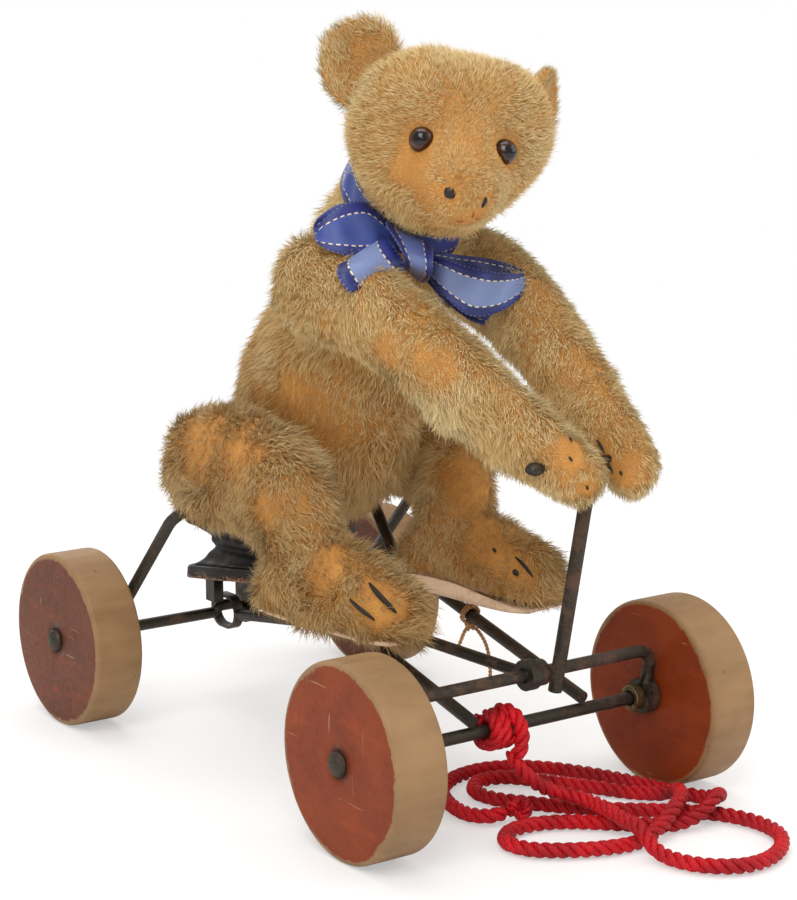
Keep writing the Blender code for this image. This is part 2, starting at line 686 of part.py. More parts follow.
def make_swing(parent):
    """The bail that rocks on the front axle, with its lever, stop collar and handlebar."""
    leg = swing_leg_x()
    bar = Vector((0, SWING_BAR_Y, SWING_BAR_Z))
    axle = Vector((0, FRONT_AXLE_Y, AXLE_Z))
    foot = axle + (bar - axle).normalized() * (ROD_RADIUS + GAP + EYE_RADIUS) / 2
    right, left = Vector((-leg, 0, 0)), Vector((leg, 0, 0))
    path = bent((foot + right, bar + right, bar + left, foot + left), SWING_BEND)
    bail = add_object("swing_bail", tube(bmesh.new(), path, ROD_RADIUS), DARK_IRON, 0.55, 0.8)
    for name, side in (("right", -1), ("left", 1)):
        eye = ring(bmesh.new(), side * leg - EYE_WIDTH / 2, side * leg + EYE_WIDTH / 2, ROD_RADIUS + GAP,
                   EYE_RADIUS, FRONT_AXLE_Y, AXLE_Z)
        boolean(bail, helper(eye, f"swing_eye_{name}"), "UNION")
    carry(bail, parent)

    low, high = lever_ends()
    bar_shape = tube(bmesh.new(), (low, low.lerp(high, 0.5), high), LEVER_RADIUS)
    lever = add_object("lever", bar_shape, DARK_IRON, 0.55, 0.8)
    carry(lever, parent)
    edge = CRANK_X + EYE_WIDTH / 2 + GAP
    collar = ring(bmesh.new(), edge, edge + COLLAR_WIDTH, ROD_RADIUS + GAP, COLLAR_RADIUS, SWING_BAR_Y,
                  SWING_BAR_Z)
    carry(add_object("lever_collar", collar, DARK_IRON, 0.5, 0.8), parent)

    ball = HANDLE_BALL_RADIUS
    neck = sqrt(ball ** 2 - HANDLE_RADIUS ** 2)
    profile = []
    for side, order in ((-1, 1), (1, -1)):
        end = HANDLE_X + side * HANDLE_HALF
        arc = []
        for i in range(7):
            a = radians(15) + (pi - radians(15) - atan2(HANDLE_RADIUS, neck)) * i / 6
            arc.append((end + side * ball * cos(a), ball * sin(a)))
        profile += arc[::order]
    bm = turned_solid(bmesh.new(), profile, HANDLE_Y, HANDLE_Z, ROD_SIDES)
    carry(add_object("handlebar", bm, (0.25, 0.25, 0.26), 0.35, 0.9), parent)


def lever_ends():
    """The lever laps the front of the bail's bar and reaches up to the underside of the handlebar."""
    bar = Vector((LEVER_X, SWING_BAR_Y, SWING_BAR_Z))
    grip = Vector((HANDLE_X, HANDLE_Y, HANDLE_Z))
    offset = ROD_RADIUS + LEVER_RADIUS + GAP
    lean = (grip - bar)
    lean = Vector((0, lean.y, lean.z)).normalized()
    lap = bar + Vector((0, -lean.z, lean.y)) * offset
    way = (grip - lap).normalized()
    return lap - way * LEVER_LAP, grip - way * (HANDLE_RADIUS + GAP + LEVER_HEADROOM)


def make_connecting_rod(parent):
    """From a long eye on the crank pin to a round eye on the swinging bail's bar."""
    low, high = CRANK_X - EYE_WIDTH / 2, CRANK_X + EYE_WIDTH / 2
    slot_radius = ROD_RADIUS + CRANK_THROW + SWING_LIFT + GAP
    slot_reach = CRANK_THROW
    strap = slot_radius + STRAP_WALL
    path = [(CRANK_X, REAR_AXLE_Y - slot_reach - slot_radius - STRAP_WALL / 2, AXLE_Z),
            (CRANK_X, ROD_KNEE_Y, ROD_KNEE_Z),
            (CRANK_X, SWING_BAR_Y + (ROD_RADIUS + GAP + EYE_RADIUS) / 2, SWING_BAR_Z)]
    rod_shape = tube(bmesh.new(), bent(path, ROD_KNEE_BEND), ROD_RADIUS * ROD_SLIM)
    rod = add_object("connecting_rod", rod_shape, DARK_IRON, 0.55, 0.8)
    bm = pierced_plate(bmesh.new(), stadium(REAR_AXLE_Y, AXLE_Z, slot_reach, 0, strap),
                       stadium(REAR_AXLE_Y, AXLE_Z, slot_reach, 0, slot_radius), low, high)
    boolean(rod, helper(bm, "crank_strap"), "UNION")
    bm = ring(bmesh.new(), low, high, ROD_RADIUS + GAP, EYE_RADIUS * 0.85, SWING_BAR_Y, SWING_BAR_Z)
    boolean(rod, helper(bm, "bail_strap"), "UNION")
    carry(rod, parent)


def tilted_board(bm, low_z, thickness, tilt):
    """A board with round corners, tilted up towards the front about its rear edge."""
    outline = outline_round(BOARD_HALF_WIDTH, BOARD_FRONT_Y, BOARD_REAR_Y, BOARD_CORNER)
    rings = []
    for z in (low_z, low_z + thickness):
        rings.append([on_tilt(x, y, z, tilt) for x, y in outline])
    return skin(bm, rings)


def on_tilt(x, y, z, tilt):
    """A point of the level board, turned about the board's rear lower edge."""
    back = BOARD_REAR_Y - y
    rise = z - LOWER_BOARD_Z
    if not tilt:
        return Vector((x, y, z))
    return Vector((x, BOARD_REAR_Y - back * cos(tilt) - rise * sin(tilt),
                   LOWER_BOARD_Z + back * sin(tilt) + rise * cos(tilt)))


def make_bellows(torso_pivot):
    bm = tilted_board(bmesh.new(), LOWER_BOARD_Z, LOWER_BOARD_THICKNESS, LOWER_BOARD_TILT)
    add_object("bellows_lower_board", bm, LEATHERETTE, 0.45)
    bm = tilted_board(bmesh.new(), UPPER_BOARD_Z, UPPER_BOARD_THICKNESS, 0)
    carry(add_object("bellows_upper_board", bm, LEATHERETTE, 0.45), torso_pivot)
    rings = []
    for share, pinch in ((0.0, 0.0), (0.25, 0.55), (0.5, 1.0), (0.75, 0.6), (1.0, 0.0)):
        inset = LEATHER_INSET + pinch * LEATHER_WAIST
        outline = outline_round(BOARD_HALF_WIDTH - inset, BOARD_FRONT_Y + inset + LEATHER_END_INSET,
                                BOARD_REAR_Y - inset - LEATHER_END_INSET, BOARD_CORNER)
        ringed = []
        for x, y in outline:
            low = on_tilt(x, y, LOWER_BOARD_Z + LOWER_BOARD_THICKNESS + GAP, LOWER_BOARD_TILT)
            high = Vector((x, y, UPPER_BOARD_Z - GAP))
            ringed.append(low.lerp(high, share))
        rings.append(ringed)
    carry(add_object("bellows_leather", skin(bmesh.new(), rings), LEATHERETTE, 0.5), torso_pivot)


def make_hanger():
    """The bracket that carries the lower board on the rear axle."""
    low, high = HANGER_X - EYE_WIDTH / 2 + HANGER_TRIM, HANGER_X + EYE_WIDTH / 2
    board = LOWER_BOARD_Z - GAP
    inner = stadium(REAR_AXLE_Y, AXLE_Z, 0, 0, ROD_RADIUS + GAP)
    rise = board - HANGER_PLATE / 2 - AXLE_Z - EYE_RADIUS
    outer = []
    for a in angles(RING_SIDES):
        a += pi / RING_SIDES
        up = rise if sin(a) > 0 else 0
        outer.append((REAR_AXLE_Y + EYE_RADIUS * cos(a), AXLE_Z + EYE_RADIUS * sin(a) + up))
    cheek = pierced_plate(bmesh.new(), outer, inner, low, high)
    hanger = add_object("seat_hanger", cheek, DARK_IRON, 0.6, 0.7)
    front, rear = REAR_AXLE_Y - HANGER_FRONT, REAR_AXLE_Y + HANGER_REAR
    corners = []
    for z in (board - HANGER_PLATE, board):
        corners.append([on_tilt(x, y, z, LOWER_BOARD_TILT) for x, y in
                        ((HANGER_RIGHT_X, front), (HANGER_LEFT_X, front),
                         (HANGER_LEFT_X, rear), (HANGER_RIGHT_X, rear))])
    boolean(hanger, helper(skin(bmesh.new(), corners), "hanger_plate"), "UNION")
    tab = block(bmesh.new(), (HANGER_RIGHT_X, REAR_AXLE_Y - TAB_FRONT, AXLE_Z + TAB_RISE),
                (HANGER_RIGHT_X + TAB_WIDTH, REAR_AXLE_Y + TAB_REAR, board - HANGER_PLATE / 2))
    boolean(hanger, helper(tab, "hanger_tab"), "UNION")


def make_torso(parent):
    """The stuffed body. It rocks on the rear bail's bar, which runs through a bore at the hips."""
    sections = [(Vector((x, y, z)), a, b) for x, y, z, a, b in TORSO_SECTIONS]
    centres = smooth([s[0] for s in sections], 2)
    halves = smooth([(s[1], s[2], 0) for s in sections], 2)
    rings = [[c + Vector((h.x * cos(a), h.y * sin(a), 0)) for a in angles(SOFT_SIDES + 4)]
             for c, h in zip(centres, halves)]
    torso = add_object("torso", skin(bmesh.new(), rings), PLUSH, 0.9)
    bore = tube(bmesh.new(), ((-CUT_REACH, HIP_Y, HIP_Z), (CUT_REACH, HIP_Y, HIP_Z)), ROD_RADIUS + TURN_GAP)
    boolean(torso, helper(bore, "hip_bore"), "DIFFERENCE")
    for name, side in (("right", -1), ("left", 1)):
        flat = block(bmesh.new(), *box_sides(side * torso_side(), side * CUT_REACH, SHOULDER_Y, SHOULDER_Z,
                                             SHOULDER_FLAT))
        boolean(torso, helper(flat, f"shoulder_flat_{name}"), "DIFFERENCE")
        hole = tube(bmesh.new(), ((side * (torso_side() - PIN_REACH - GAP), SHOULDER_Y, SHOULDER_Z),
                                  (side * CUT_REACH, SHOULDER_Y, SHOULDER_Z)), PIN_RADIUS + GAP)
        boolean(torso, helper(hole, f"shoulder_hole_{name}"), "DIFFERENCE")
    axis = neck_axis()
    hole_path = (NECK - axis * (PIN_REACH + DISC_THICKNESS), NECK + axis * NECK_HOLE_REACH)
    hole = tube(bmesh.new(), hole_path, PIN_RADIUS + GAP)
    boolean(torso, helper(hole, "neck_hole"), "DIFFERENCE")
    flat = tube(bmesh.new(), (NECK - axis * (DISC_THICKNESS + GAP), NECK + axis * NECK_CUT), NECK_CUT_RADIUS,
                RING_SIDES)
    boolean(torso, helper(flat, "neck_flat"), "DIFFERENCE")
    carry(torso, parent)

    for name, side in (("right", -1), ("left", 1)):
        inner = side * (torso_side() + GAP)
        bm = ring(bmesh.new(), inner, inner + side * DISC_THICKNESS, PIN_RADIUS + GAP, SHOULDER_DISC_RADIUS,
                  SHOULDER_Y, SHOULDER_Z)
        carry(add_object(f"shoulder_disc_{name}", bm, CARDBOARD, 0.9), parent)
        reach = side * (torso_side() - PIN_REACH)
        out = side * (torso_side() + 2 * GAP + DISC_THICKNESS + PIN_REACH)
        pin = tube(bmesh.new(), ((reach, SHOULDER_Y, SHOULDER_Z), (out, SHOULDER_Y, SHOULDER_Z)), PIN_RADIUS)
        carry(add_object(f"shoulder_pin_{name}", pin, DARK_IRON, 0.5, 0.8), parent)
    neck_parts = (("neck_disc", NECK_DISC_RADIUS), ("neck_pin", PIN_RADIUS))
    for name, radius in neck_parts:
        if name == "neck_pin":
            path = (NECK - axis * (PIN_REACH + DISC_THICKNESS - GAP), NECK + axis * PIN_REACH)
            bm = tube(bmesh.new(), path, radius)
        else:
            base = NECK - axis * DISC_THICKNESS
            bm = washer_along(base, axis, DISC_THICKNESS - GAP, PIN_RADIUS + GAP, radius)
        carry(add_object(name, bm, CARDBOARD if name == "neck_disc" else DARK_IRON, 0.8), parent)


def washer_along(base, axis, thickness, r_in, r_out):
    """A flat ring about any axis."""
    u = axis.orthogonal().normalized()
    v = axis.cross(u)
    loops = []
    for rise, radius in ((0, r_in), (thickness, r_in), (thickness, r_out), (0, r_out)):
        loops.append([base + axis * rise + radius * (cos(a) * u + sin(a) * v) for a in angles(RING_SIDES)])
    return skin(bmesh.new(), loops, closed=True)


def box_sides(x_one, x_two, y, z, half):
    low = Vector((min(x_one, x_two), y - half, z - half))
    return low, Vector((max(x_one, x_two), y + half, z + half))


def torso_side():
    """The torso's flat side at the shoulder, inside the arm, its disc and their gaps."""
    return SHOULDER_X - ARM_SECTIONS[0][2] - DISC_THICKNESS - 2 * GAP


def make_arm(name, side, paw_x, parent):
    """A curved arm from the shoulder disc to a paw that closes round the handlebar."""
    sections = []
    y_from, y_to = ARM_SECTIONS[0][0], ARM_SECTIONS[-1][0]
    for y, z, a, b in ARM_SECTIONS:
        share = ((y - y_from) / (y_to - y_from)) ** 1.25
        x = side * SHOULDER_X + (paw_x - side * SHOULDER_X) * share
        sections.append((Vector((x, y, z)), a, b))
    arm = add_object(f"{name}_arm", limb(bmesh.new(), sections), PLUSH, 0.9)
    bore = tube(bmesh.new(), ((HANDLE_X - CUT_REACH, HANDLE_Y, HANDLE_Z),
                              (HANDLE_X + CUT_REACH, HANDLE_Y, HANDLE_Z)), HANDLE_RADIUS + PAW_CLEARANCE)
    boolean(arm, helper(bore, f"grip_bore_{name}"), "DIFFERENCE")
    face = side * (SHOULDER_X - ARM_SECTIONS[0][2])
    flat = block(bmesh.new(), *box_sides(face, 0, SHOULDER_Y, SHOULDER_Z, ARM_FLAT))
    boolean(arm, helper(flat, f"arm_flat_{name}"), "DIFFERENCE")
    hole_end = (face + side * (PIN_REACH + GAP), SHOULDER_Y, SHOULDER_Z)
    hole = tube(bmesh.new(), ((0, SHOULDER_Y, SHOULDER_Z), hole_end), PIN_RADIUS + GAP)
    boolean(arm, helper(hole, f"arm_hole_{name}"), "DIFFERENCE")
    carry(arm, parent)


def foot_line(name):
    """Heel and toe of a foot, and the height of its upper's flat bottom."""
    if name == "right":
        return (Vector((RIGHT_HEEL_X, RIGHT_HEEL_Y, RIGHT_SOLE_Z)),
                Vector((RIGHT_TOE_X, RIGHT_TOE_Y, RIGHT_SOLE_Z)))
    return Vector((LEFT_HEEL_X, LEFT_HEEL_Y, LEFT_SOLE_Z)), Vector((LEFT_TOE_X, LEFT_TOE_Y, LEFT_SOLE_Z))


def make_leg(name, middles):
    """A thick bent leg with a long foot, flat below for its felt sole."""
    side = -1 if name == "right" else 1
    heel, toe = foot_line(name)
    sections = [(Vector((x, y, z)), a, b) for x, (y, z, a, b) in zip(middles, LEG_SECTIONS)]
    leg = add_object(f"{name}_leg", limb(bmesh.new(), sections), PLUSH, 0.9)

    base = heel.z + SOLE_THICKNESS + GAP
    rings = []
    way = (toe - heel).normalized()
    across = Vector((way.y, -way.x, 0))
    for share, half, height in FOOT_SECTIONS:
        middle = heel.lerp(toe, share)
        points = []
        for a in angles(SOFT_SIDES):
            rise = height * 0.38 + sin(a) * height * 0.62
            points.append(Vector((middle.x, middle.y, base)) + across * half * cos(a)
                          + Vector((0, 0, max(rise, 0.0))))
        rings.append(points)
    boolean(leg, helper(skin(bmesh.new(), rings), f"{name}_foot"), "UNION")
    bar = tube(bmesh.new(), rear_bail_path(), ROD_RADIUS + TURN_GAP)
    boolean(leg, helper(bar, f"{name}_leg_bore"), "DIFFERENCE")
    face = side * (hip_face() + DISC_THICKNESS + GAP)
    flat = block(bmesh.new(), *box_sides(face, 0, HIP_Y, HIP_Z, HIP_DISC_RADIUS + HIP_FLAT_EDGE))
    boolean(leg, helper(flat, f"{name}_leg_flat"), "DIFFERENCE")

    outline = [(s, h) for s, h, _ in FOOT_SECTIONS]
    points = [heel.lerp(toe, s) + across * h * SOLE_INSET for s, h in outline]
    points += [heel.lerp(toe, s) - across * h * SOLE_INSET for s, h in reversed(outline)]
    rings = [[p + Vector((0, 0, rise)) for p in points] for rise in (0.0, SOLE_THICKNESS)]
    add_object(f"{name}_sole", skin(bmesh.new(), rings), FELT, 0.9)

    face = side * hip_face()
    bm = ring(bmesh.new(), face, face + side * DISC_THICKNESS, ROD_RADIUS + TURN_GAP, HIP_DISC_RADIUS,
              HIP_Y, HIP_Z)
    add_object(f"hip_disc_{name}", bm, CARDBOARD, 0.9)


def hip_face():
    """Inner face of the hip discs, just outside the torso."""
    return HIP_FACE_X


def neck_axis():
    """The way out of the neck joint."""
    return Vector((0, -sin(NECK_LEAN), cos(NECK_LEAN)))


def head_turn():
    """The head's attitude: turned to its right and tilted."""
    return (Matrix.Rotation(HEAD_YAW, 3, "Z") @ Matrix.Rotation(HEAD_PITCH, 3, "X")
            @ Matrix.Rotation(HEAD_ROLL, 3, "Y"))


def head_place(point):
    """A point of the head's own frame, in the cart's frame."""
    return HEAD_CENTRE + head_turn() @ Vector(point)


def head_radius(way, grow=0.0):
    """The head's surface in a direction from its centre: a broad flat-topped skull with a short muzzle."""
    x, y, z = way
    power = 2 + CROWN_SQUARENESS * min(1.0, max(0.0, z) * 1.6)
    halves = (HEAD_HALF_WIDTH, HEAD_HALF_DEPTH, HEAD_HALF_HEIGHT)
    sides = sum(abs(reach / half) ** power for reach, half in zip((x, y, z), halves))
    nose = Vector((0, -cos(MUZZLE_DROP), -sin(MUZZLE_DROP)))
    muzzle = MUZZLE_LENGTH * exp(-((Vector(way).angle(nose) / MUZZLE_SPREAD) ** 2))
    jaws = sum(slack * exp(-((Vector(way).angle(side) / JAW_SPREAD) ** 2))
               for side, slack in (LEFT_JAW, RIGHT_JAW))
    return sides ** (-1 / power) + muzzle - jaws + grow


def head_mesh(bm, grow=0.0, columns=24, rows=16):
    rings = []
    for i in range(1, rows):
        up = pi * i / rows - pi / 2
        points = []
        for a in angles(columns):
            way = Vector((cos(up) * cos(a), cos(up) * sin(a), sin(up)))
            points.append(head_place(way * head_radius(way, grow)))
        rings.append(points)
    return skin(bm, rings)


def ball(centre, radius, columns=16, rows=10):
    bm = bmesh.new()
    bmesh.ops.create_uvsphere(bm, u_segments=columns, v_segments=rows, radius=radius)
    bmesh.ops.translate(bm, vec=centre, verts=bm.verts)
    return bm


def make_head(parent):
    """Head, ears and eyes. The head turns on the neck joint."""
    head = add_object("head", head_mesh(bmesh.new()), PLUSH, 0.9)
    shell = helper(head_mesh(bmesh.new(), GAP), "head_shell")
    for name, side, ear_middle, turn in (("right", -1, RIGHT_EAR, RIGHT_EAR_TURN),
                                         ("left", 1, LEFT_EAR, LEFT_EAR_TURN)):
        way = Vector((side * EYE_X, EYE_Y, EYE_Z)).normalized()
        centre = head_place(way * (head_radius(way) - EYE_BALL_RADIUS * 0.35))
        carry(add_object(f"{name}_eye", ball(centre, EYE_BALL_RADIUS), GLASS, 0.08), parent)
        boolean(head, helper(ball(centre, EYE_BALL_RADIUS + GAP), f"{name}_socket"), "DIFFERENCE")
        ear = add_object(f"{name}_ear", ear_mesh(bmesh.new(), ear_middle, turn), PLUSH, 0.9)
        boolean(ear, shell, "DIFFERENCE")
        carry(ear, parent)
    axis = neck_axis()
    flat = tube(bmesh.new(), (NECK - axis * NECK_CUT, NECK + axis * GAP), NECK_CUT_RADIUS, RING_SIDES)
    boolean(head, helper(flat, "head_flat"), "DIFFERENCE")
    hole_path = (NECK - axis * NECK_HOLE_REACH, NECK + axis * (PIN_REACH + GAP))
    hole = tube(bmesh.new(), hole_path, PIN_RADIUS + GAP)
    boolean(head, helper(hole, "head_hole"), "DIFFERENCE")
    carry(head, parent)


def ear_mesh(bm, middle, turn):
    """A round ear, hollowed in front."""
    columns, rows = 20, 5
    rings = []
    spin = Matrix.Rotation(turn, 3, "Z")
    for face in (1, -1):
        shares = [i / rows for i in range(1, rows + 1)]
        if face == -1:
            shares = list(reversed(shares))[1:]
        for share in shares:
            bulge = EAR_HALF_DEPTH * sqrt(max(0.0, 1 - share ** 4))
            y = bulge if face == 1 else -bulge + EAR_HOLLOW * 2 * (1 - share ** 2)
            rings.append([head_place(middle + spin @ Vector((EAR_HALF_WIDTH * share * cos(a), y,
                                                             EAR_HALF_HEIGHT * share * sin(a))))
                          for a in angles(columns)])
    return skin(bm, rings)


def make_ribbon(parent):
    """The band of ribbon round the neck and the bow on the chest."""
    axis = neck_axis()
    down = Vector((0, -cos(NECK_LEAN), -sin(NECK_LEAN)))
    centre = NECK + RIBBON_SHIFT * -down
    rings = []
    upper = -RIBBON_SINK
    for rise, grow in ((-RIBBON_WIDTH, 0.0), (upper, -RIBBON_TAPER), (upper, RIBBON_THICKNESS - RIBBON_TAPER),
                       (-RIBBON_WIDTH, RIBBON_THICKNESS)):
        rings.append([centre + axis * rise + Vector(((RIBBON_HALF_WIDTH + grow) * cos(a), 0, 0))
                      + down * (RIBBON_HALF_DEPTH + grow) * sin(a) for a in angles(RING_SIDES)])
    carry(add_object("neck_ribbon", skin(bmesh.new(), rings, closed=True), RIBBON_BLUE, 0.4), parent)

    bow = add_object("ribbon_bow", bow_lobe(BOW_KNOT, BOW_RIGHT_END, *BOW_RIGHT_SIZE), RIBBON_BLUE, 0.4)
    boolean(bow, helper(bow_lobe(BOW_KNOT, BOW_LEFT_END, *BOW_LEFT_SIZE), "bow_left_lobe"), "UNION")
    boolean(bow, helper(bow_lobe(BOW_KNOT, BOW_TAIL_END, *BOW_TAIL_SIZE), "bow_tail"), "UNION")
    boolean(bow, helper(ball(BOW_KNOT, BOW_KNOT_RADIUS, 12, 8), "bow_knot"), "UNION")
    carry(bow, parent)


def bow_lobe(start, end, narrow, wide):
    """One flat loop of the bow, widening away from the knot."""
    way = (end - start)
    up = Vector((0, 0, 1))
    up = (up - way.normalized() * up.dot(way.normalized())).normalized()
    depth = way.normalized().cross(up)
    rings = []
    for share, half, thick in ((0.12, narrow, 0.8), (0.35, narrow * 1.2, 1.0), (0.65, wide * 0.9, 1.3),
                               (0.9, wide, 1.2), (1.0, wide * 0.8, 0.7)):
        rings.append([start + way * share + up * half * cos(a) + depth * BOW_THICKNESS * thick * sin(a)
                      for a in angles(12)])
    return skin(bmesh.new(), rings)


def make_twine():
    """String that ties each foot to its rail: a loop on each rail, and the left one's loose tails."""
    radius = TWINE_DIAMETER / 2
    for name, side in (("right", -1), ("left", 1)):
        loops = []
        reach = ROD_RADIUS + GAP + radius
        centre = Vector((side * RAIL_FRONT_X, TWINE_Y, rail_height(TWINE_Y)))
        slope = atan2(RAIL_REST_Z - AXLE_Z - 2 * ROD_RADIUS, RAIL_REST_FRONT_Y - FRONT_AXLE_Y)
        along = Vector((0, cos(slope), sin(slope)))
        across = Vector((0, -sin(slope), cos(slope)))
        for a in angles(RING_SIDES):
            out = Vector((1, 0, 0)) * cos(a) + across * sin(a)
            loops.append([centre + out * (reach + radius * cos(b)) + along * radius * 1.6 * sin(b)
                          for b in angles(8)])
        add_object(f"twine_loop_{name}", skin(bmesh.new(), loops, closed=True), TWINE_TAN, 0.9)
    add_cord("foot_twine", evenly(smooth(TWINE_ROUTE, 8), 16), TWINE_DIAMETER, TWINE_TAN)


def add_cord(name, points, diameter, colour):
    """A plain tube along a free cord's route."""
    data = bpy.data.curves.new(name, "CURVE")
    data.dimensions = "3D"
    data.bevel_depth = diameter / 2
    data.bevel_resolution = 2
    data.use_fill_caps = True
    spline = data.splines.new("POLY")
    spline.points.add(len(points) - 1)
    for point, place in zip(spline.points, points):
        point.co = (*place, 1.0)
    data.materials.append(surface(name, colour, 0.8))
    thing = bpy.data.objects.new(name, data)
    bpy.context.scene.collection.objects.link(thing)
    return thing


def make_rope():
    """The pull rope, its knot on the front axle and the knot in its far end."""
    way = KNOT_LEAVES.normalized()
    knot = Vector((KNOT_X, FRONT_AXLE_Y, AXLE_Z))
    exit_point = Vector((KNOT_X + ROPE_EXIT_SIDE, FRONT_AXLE_Y, AXLE_Z)) + way * (KNOT_RADIUS + 2 * GAP)
    half = KNOT_HALF_WIDTH
    bore = ROD_RADIUS + GAP
    profile = [(-half, bore)]
    for share, bulge in KNOT_OUTLINE:
        profile.append((half * share, KNOT_RADIUS * bulge))
    profile.append((half, bore))
    add_object("rope_knot", turned(bmesh.new(), profile, knot), ROPE_RED, 0.8)
    last = Vector(ROPE_ROUTE[-1])
    end_way = (END_KNOT - last).normalized()
    tip = END_KNOT - end_way * (END_KNOT_RADIUS + GAP)
    route = [exit_point, *(Vector(p) for p in ROPE_ROUTE), tip]
    add_cord("pull_rope", evenly(smooth(route, 10), ROPE_POINTS), ROPE_DIAMETER, ROPE_RED)
    add_object("rope_end_knot", ball(END_KNOT, END_KNOT_RADIUS, 14, 9), ROPE_RED, 0.8)


def main():
    clear_scene()
    front_axle = Vector((0, FRONT_AXLE_Y, AXLE_Z))
    rear_axle = Vector((0, REAR_AXLE_Y, AXLE_Z))
    swing = pivot("swing_pivot", front_axle)
    rear = pivot("rear_axle_pivot", rear_axle)
    hips = pivot("hip_pivot", (0, HIP_Y, HIP_Z))
    make_front_axle()
    make_rails()
    make_rear_bail()
    make_rear_axle(rear)
    for name, side in (("right", -1), ("left", 1)):
        hub = pivot(f"front_{name}_pivot", front_axle)
        make_wheel(f"front_wheel_{name}", side, FRONT_TRACK_HALF, FRONT_AXLE_Y, hub)
        make_wheel(f"rear_wheel_{name}", side, REAR_TRACK_HALF, REAR_AXLE_Y, rear)
    make_swing(swing)
    make_connecting_rod(pivot("rod_pivot", (CRANK_X, SWING_BAR_Y, SWING_BAR_Z)))
    make_hanger()
    make_bellows(hips)
    make_torso(hips)
    for name, side, paw in (("right", -1, RIGHT_PAW_X), ("left", 1, LEFT_PAW_X)):
        shoulder = pivot(f"{name}_shoulder_pivot", (side * SHOULDER_X, SHOULDER_Y, SHOULDER_Z))
        make_arm(name, side, paw, shoulder)
    make_leg("right", RIGHT_LEG_X)
    make_leg("left", LEFT_LEG_X)
    make_head(pivot("neck_pivot", NECK, (NECK_LEAN, 0, 0)))
    make_ribbon(hips)
    make_twine()
    make_rope()
    root = pivot("toy", (0, 0, 0))
    for thing in list(bpy.context.scene.objects):
        if thing.parent is None and thing is not root:
            thing.parent = root
    root.location.y = ORIGIN_SHIFT


main()
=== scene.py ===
"""A worn mohair bear riding an iron and wood cart, laid out as an add-on and run as a script."""

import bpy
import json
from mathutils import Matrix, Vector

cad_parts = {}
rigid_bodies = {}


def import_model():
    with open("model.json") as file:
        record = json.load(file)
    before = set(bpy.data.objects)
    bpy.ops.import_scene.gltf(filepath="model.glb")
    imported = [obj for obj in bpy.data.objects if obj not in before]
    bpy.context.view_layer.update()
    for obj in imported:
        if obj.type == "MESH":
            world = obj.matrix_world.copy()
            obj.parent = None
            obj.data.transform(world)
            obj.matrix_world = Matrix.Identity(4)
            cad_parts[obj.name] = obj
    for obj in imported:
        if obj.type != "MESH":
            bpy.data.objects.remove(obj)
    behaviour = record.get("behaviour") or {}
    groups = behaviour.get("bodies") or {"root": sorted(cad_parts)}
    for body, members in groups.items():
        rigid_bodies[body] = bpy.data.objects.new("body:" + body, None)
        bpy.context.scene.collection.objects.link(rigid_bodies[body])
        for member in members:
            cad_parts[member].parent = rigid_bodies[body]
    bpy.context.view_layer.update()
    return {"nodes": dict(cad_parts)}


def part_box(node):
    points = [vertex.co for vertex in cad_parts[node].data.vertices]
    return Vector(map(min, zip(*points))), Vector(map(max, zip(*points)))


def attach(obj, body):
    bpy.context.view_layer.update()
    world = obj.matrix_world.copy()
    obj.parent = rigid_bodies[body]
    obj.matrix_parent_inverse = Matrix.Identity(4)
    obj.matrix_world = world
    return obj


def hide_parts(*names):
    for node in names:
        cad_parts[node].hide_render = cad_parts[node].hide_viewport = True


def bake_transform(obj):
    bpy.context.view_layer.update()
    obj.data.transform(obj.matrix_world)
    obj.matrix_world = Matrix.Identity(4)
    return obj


bl_info = {
    "name": "Teddy bear pull toy",
    "version": (1, 0, 0),
    "blender": (4, 5, 0),
    "location": "3D View > Sidebar > Pull Toy",
    "description": "Builds a worn mohair bear on a wheeled cart with a pull rope",
    "category": "Add Mesh",
}

import json
from math import atan, cos, pi, radians, sin, sqrt, tan

import bmesh
import bpy
import numpy as np
from mathutils import Matrix, Vector, noise
from mathutils.bvhtree import BVHTree

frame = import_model()

MM = 0.001
FORWARD = np.array((0.0, 0.0022, 0.0))  # from the middle between the axles to the frame's origin
AXLE_Y = 87.5  # everything below is in millimetres from the middle between the axles
AXLE_Z = 31.0
ROD = 2.1
SIDES = {"right": -1, "left": 1}

# Wheels: side, half track, axle's y, how grey the paint has gone, the body that turns with it
WHEELS = {
    "front_wheel_right": (-1, 70.4, -AXLE_Y, 0.16, "front_wheel_right"),
    "front_wheel_left": (1, 70.4, -AXLE_Y, -0.2, "front_wheel_left"),
    "rear_wheel_right": (-1, 73.8, AXLE_Y, 0.85, "rear_axle"),
    "rear_wheel_left": (1, 73.8, AXLE_Y, 0.9, "rear_axle"),
}
WHEEL_RADIUS = 31.0
WHEEL_THICK = 18.2
WHEEL_EDGE = 1.6  # radius of the rounded rim

# Bellows, in millimetres from the middle between the axles
BOARD_HALF_WIDTH = 20.5
BOARD_FRONT, BOARD_REAR = 31.5, 90.5
BOARD_THICK = 5.3
LOWER_BOARD_Z, UPPER_BOARD_Z = 45.5, 66.5  # undersides, at the lower board's rear edge
BOARD_TILT = radians(8.5)
FOLDS, FOLD_DEPTH, WAIST_DEPTH, FOLD_CORNER = 3, 0.5, 5.5, 6.0

# Stuffed body: x, y, z, half width, half depth, from the seat to the neck
TORSO = (
    (0, 48, 73.5, 12, 20), (0, 45, 78.5, 18, 30), (0, 40, 86, 21.2, 37), (0, 32, 98, 21.7, 41),
    (0, 24.5, 112, 24, 42), (0, 19, 126, 26.2, 41), (0, 13, 141.6, 23.8, 38), (0, 4, 157, 20.3, 34),
    (1, -6, 172.6, 18.8, 30.5), (2, -13, 184, 17.8, 28), (2, -19, 194, 16.5, 24), (2, -23, 202, 15, 19),
    (2, -25, 209, 12.5, 15),
)
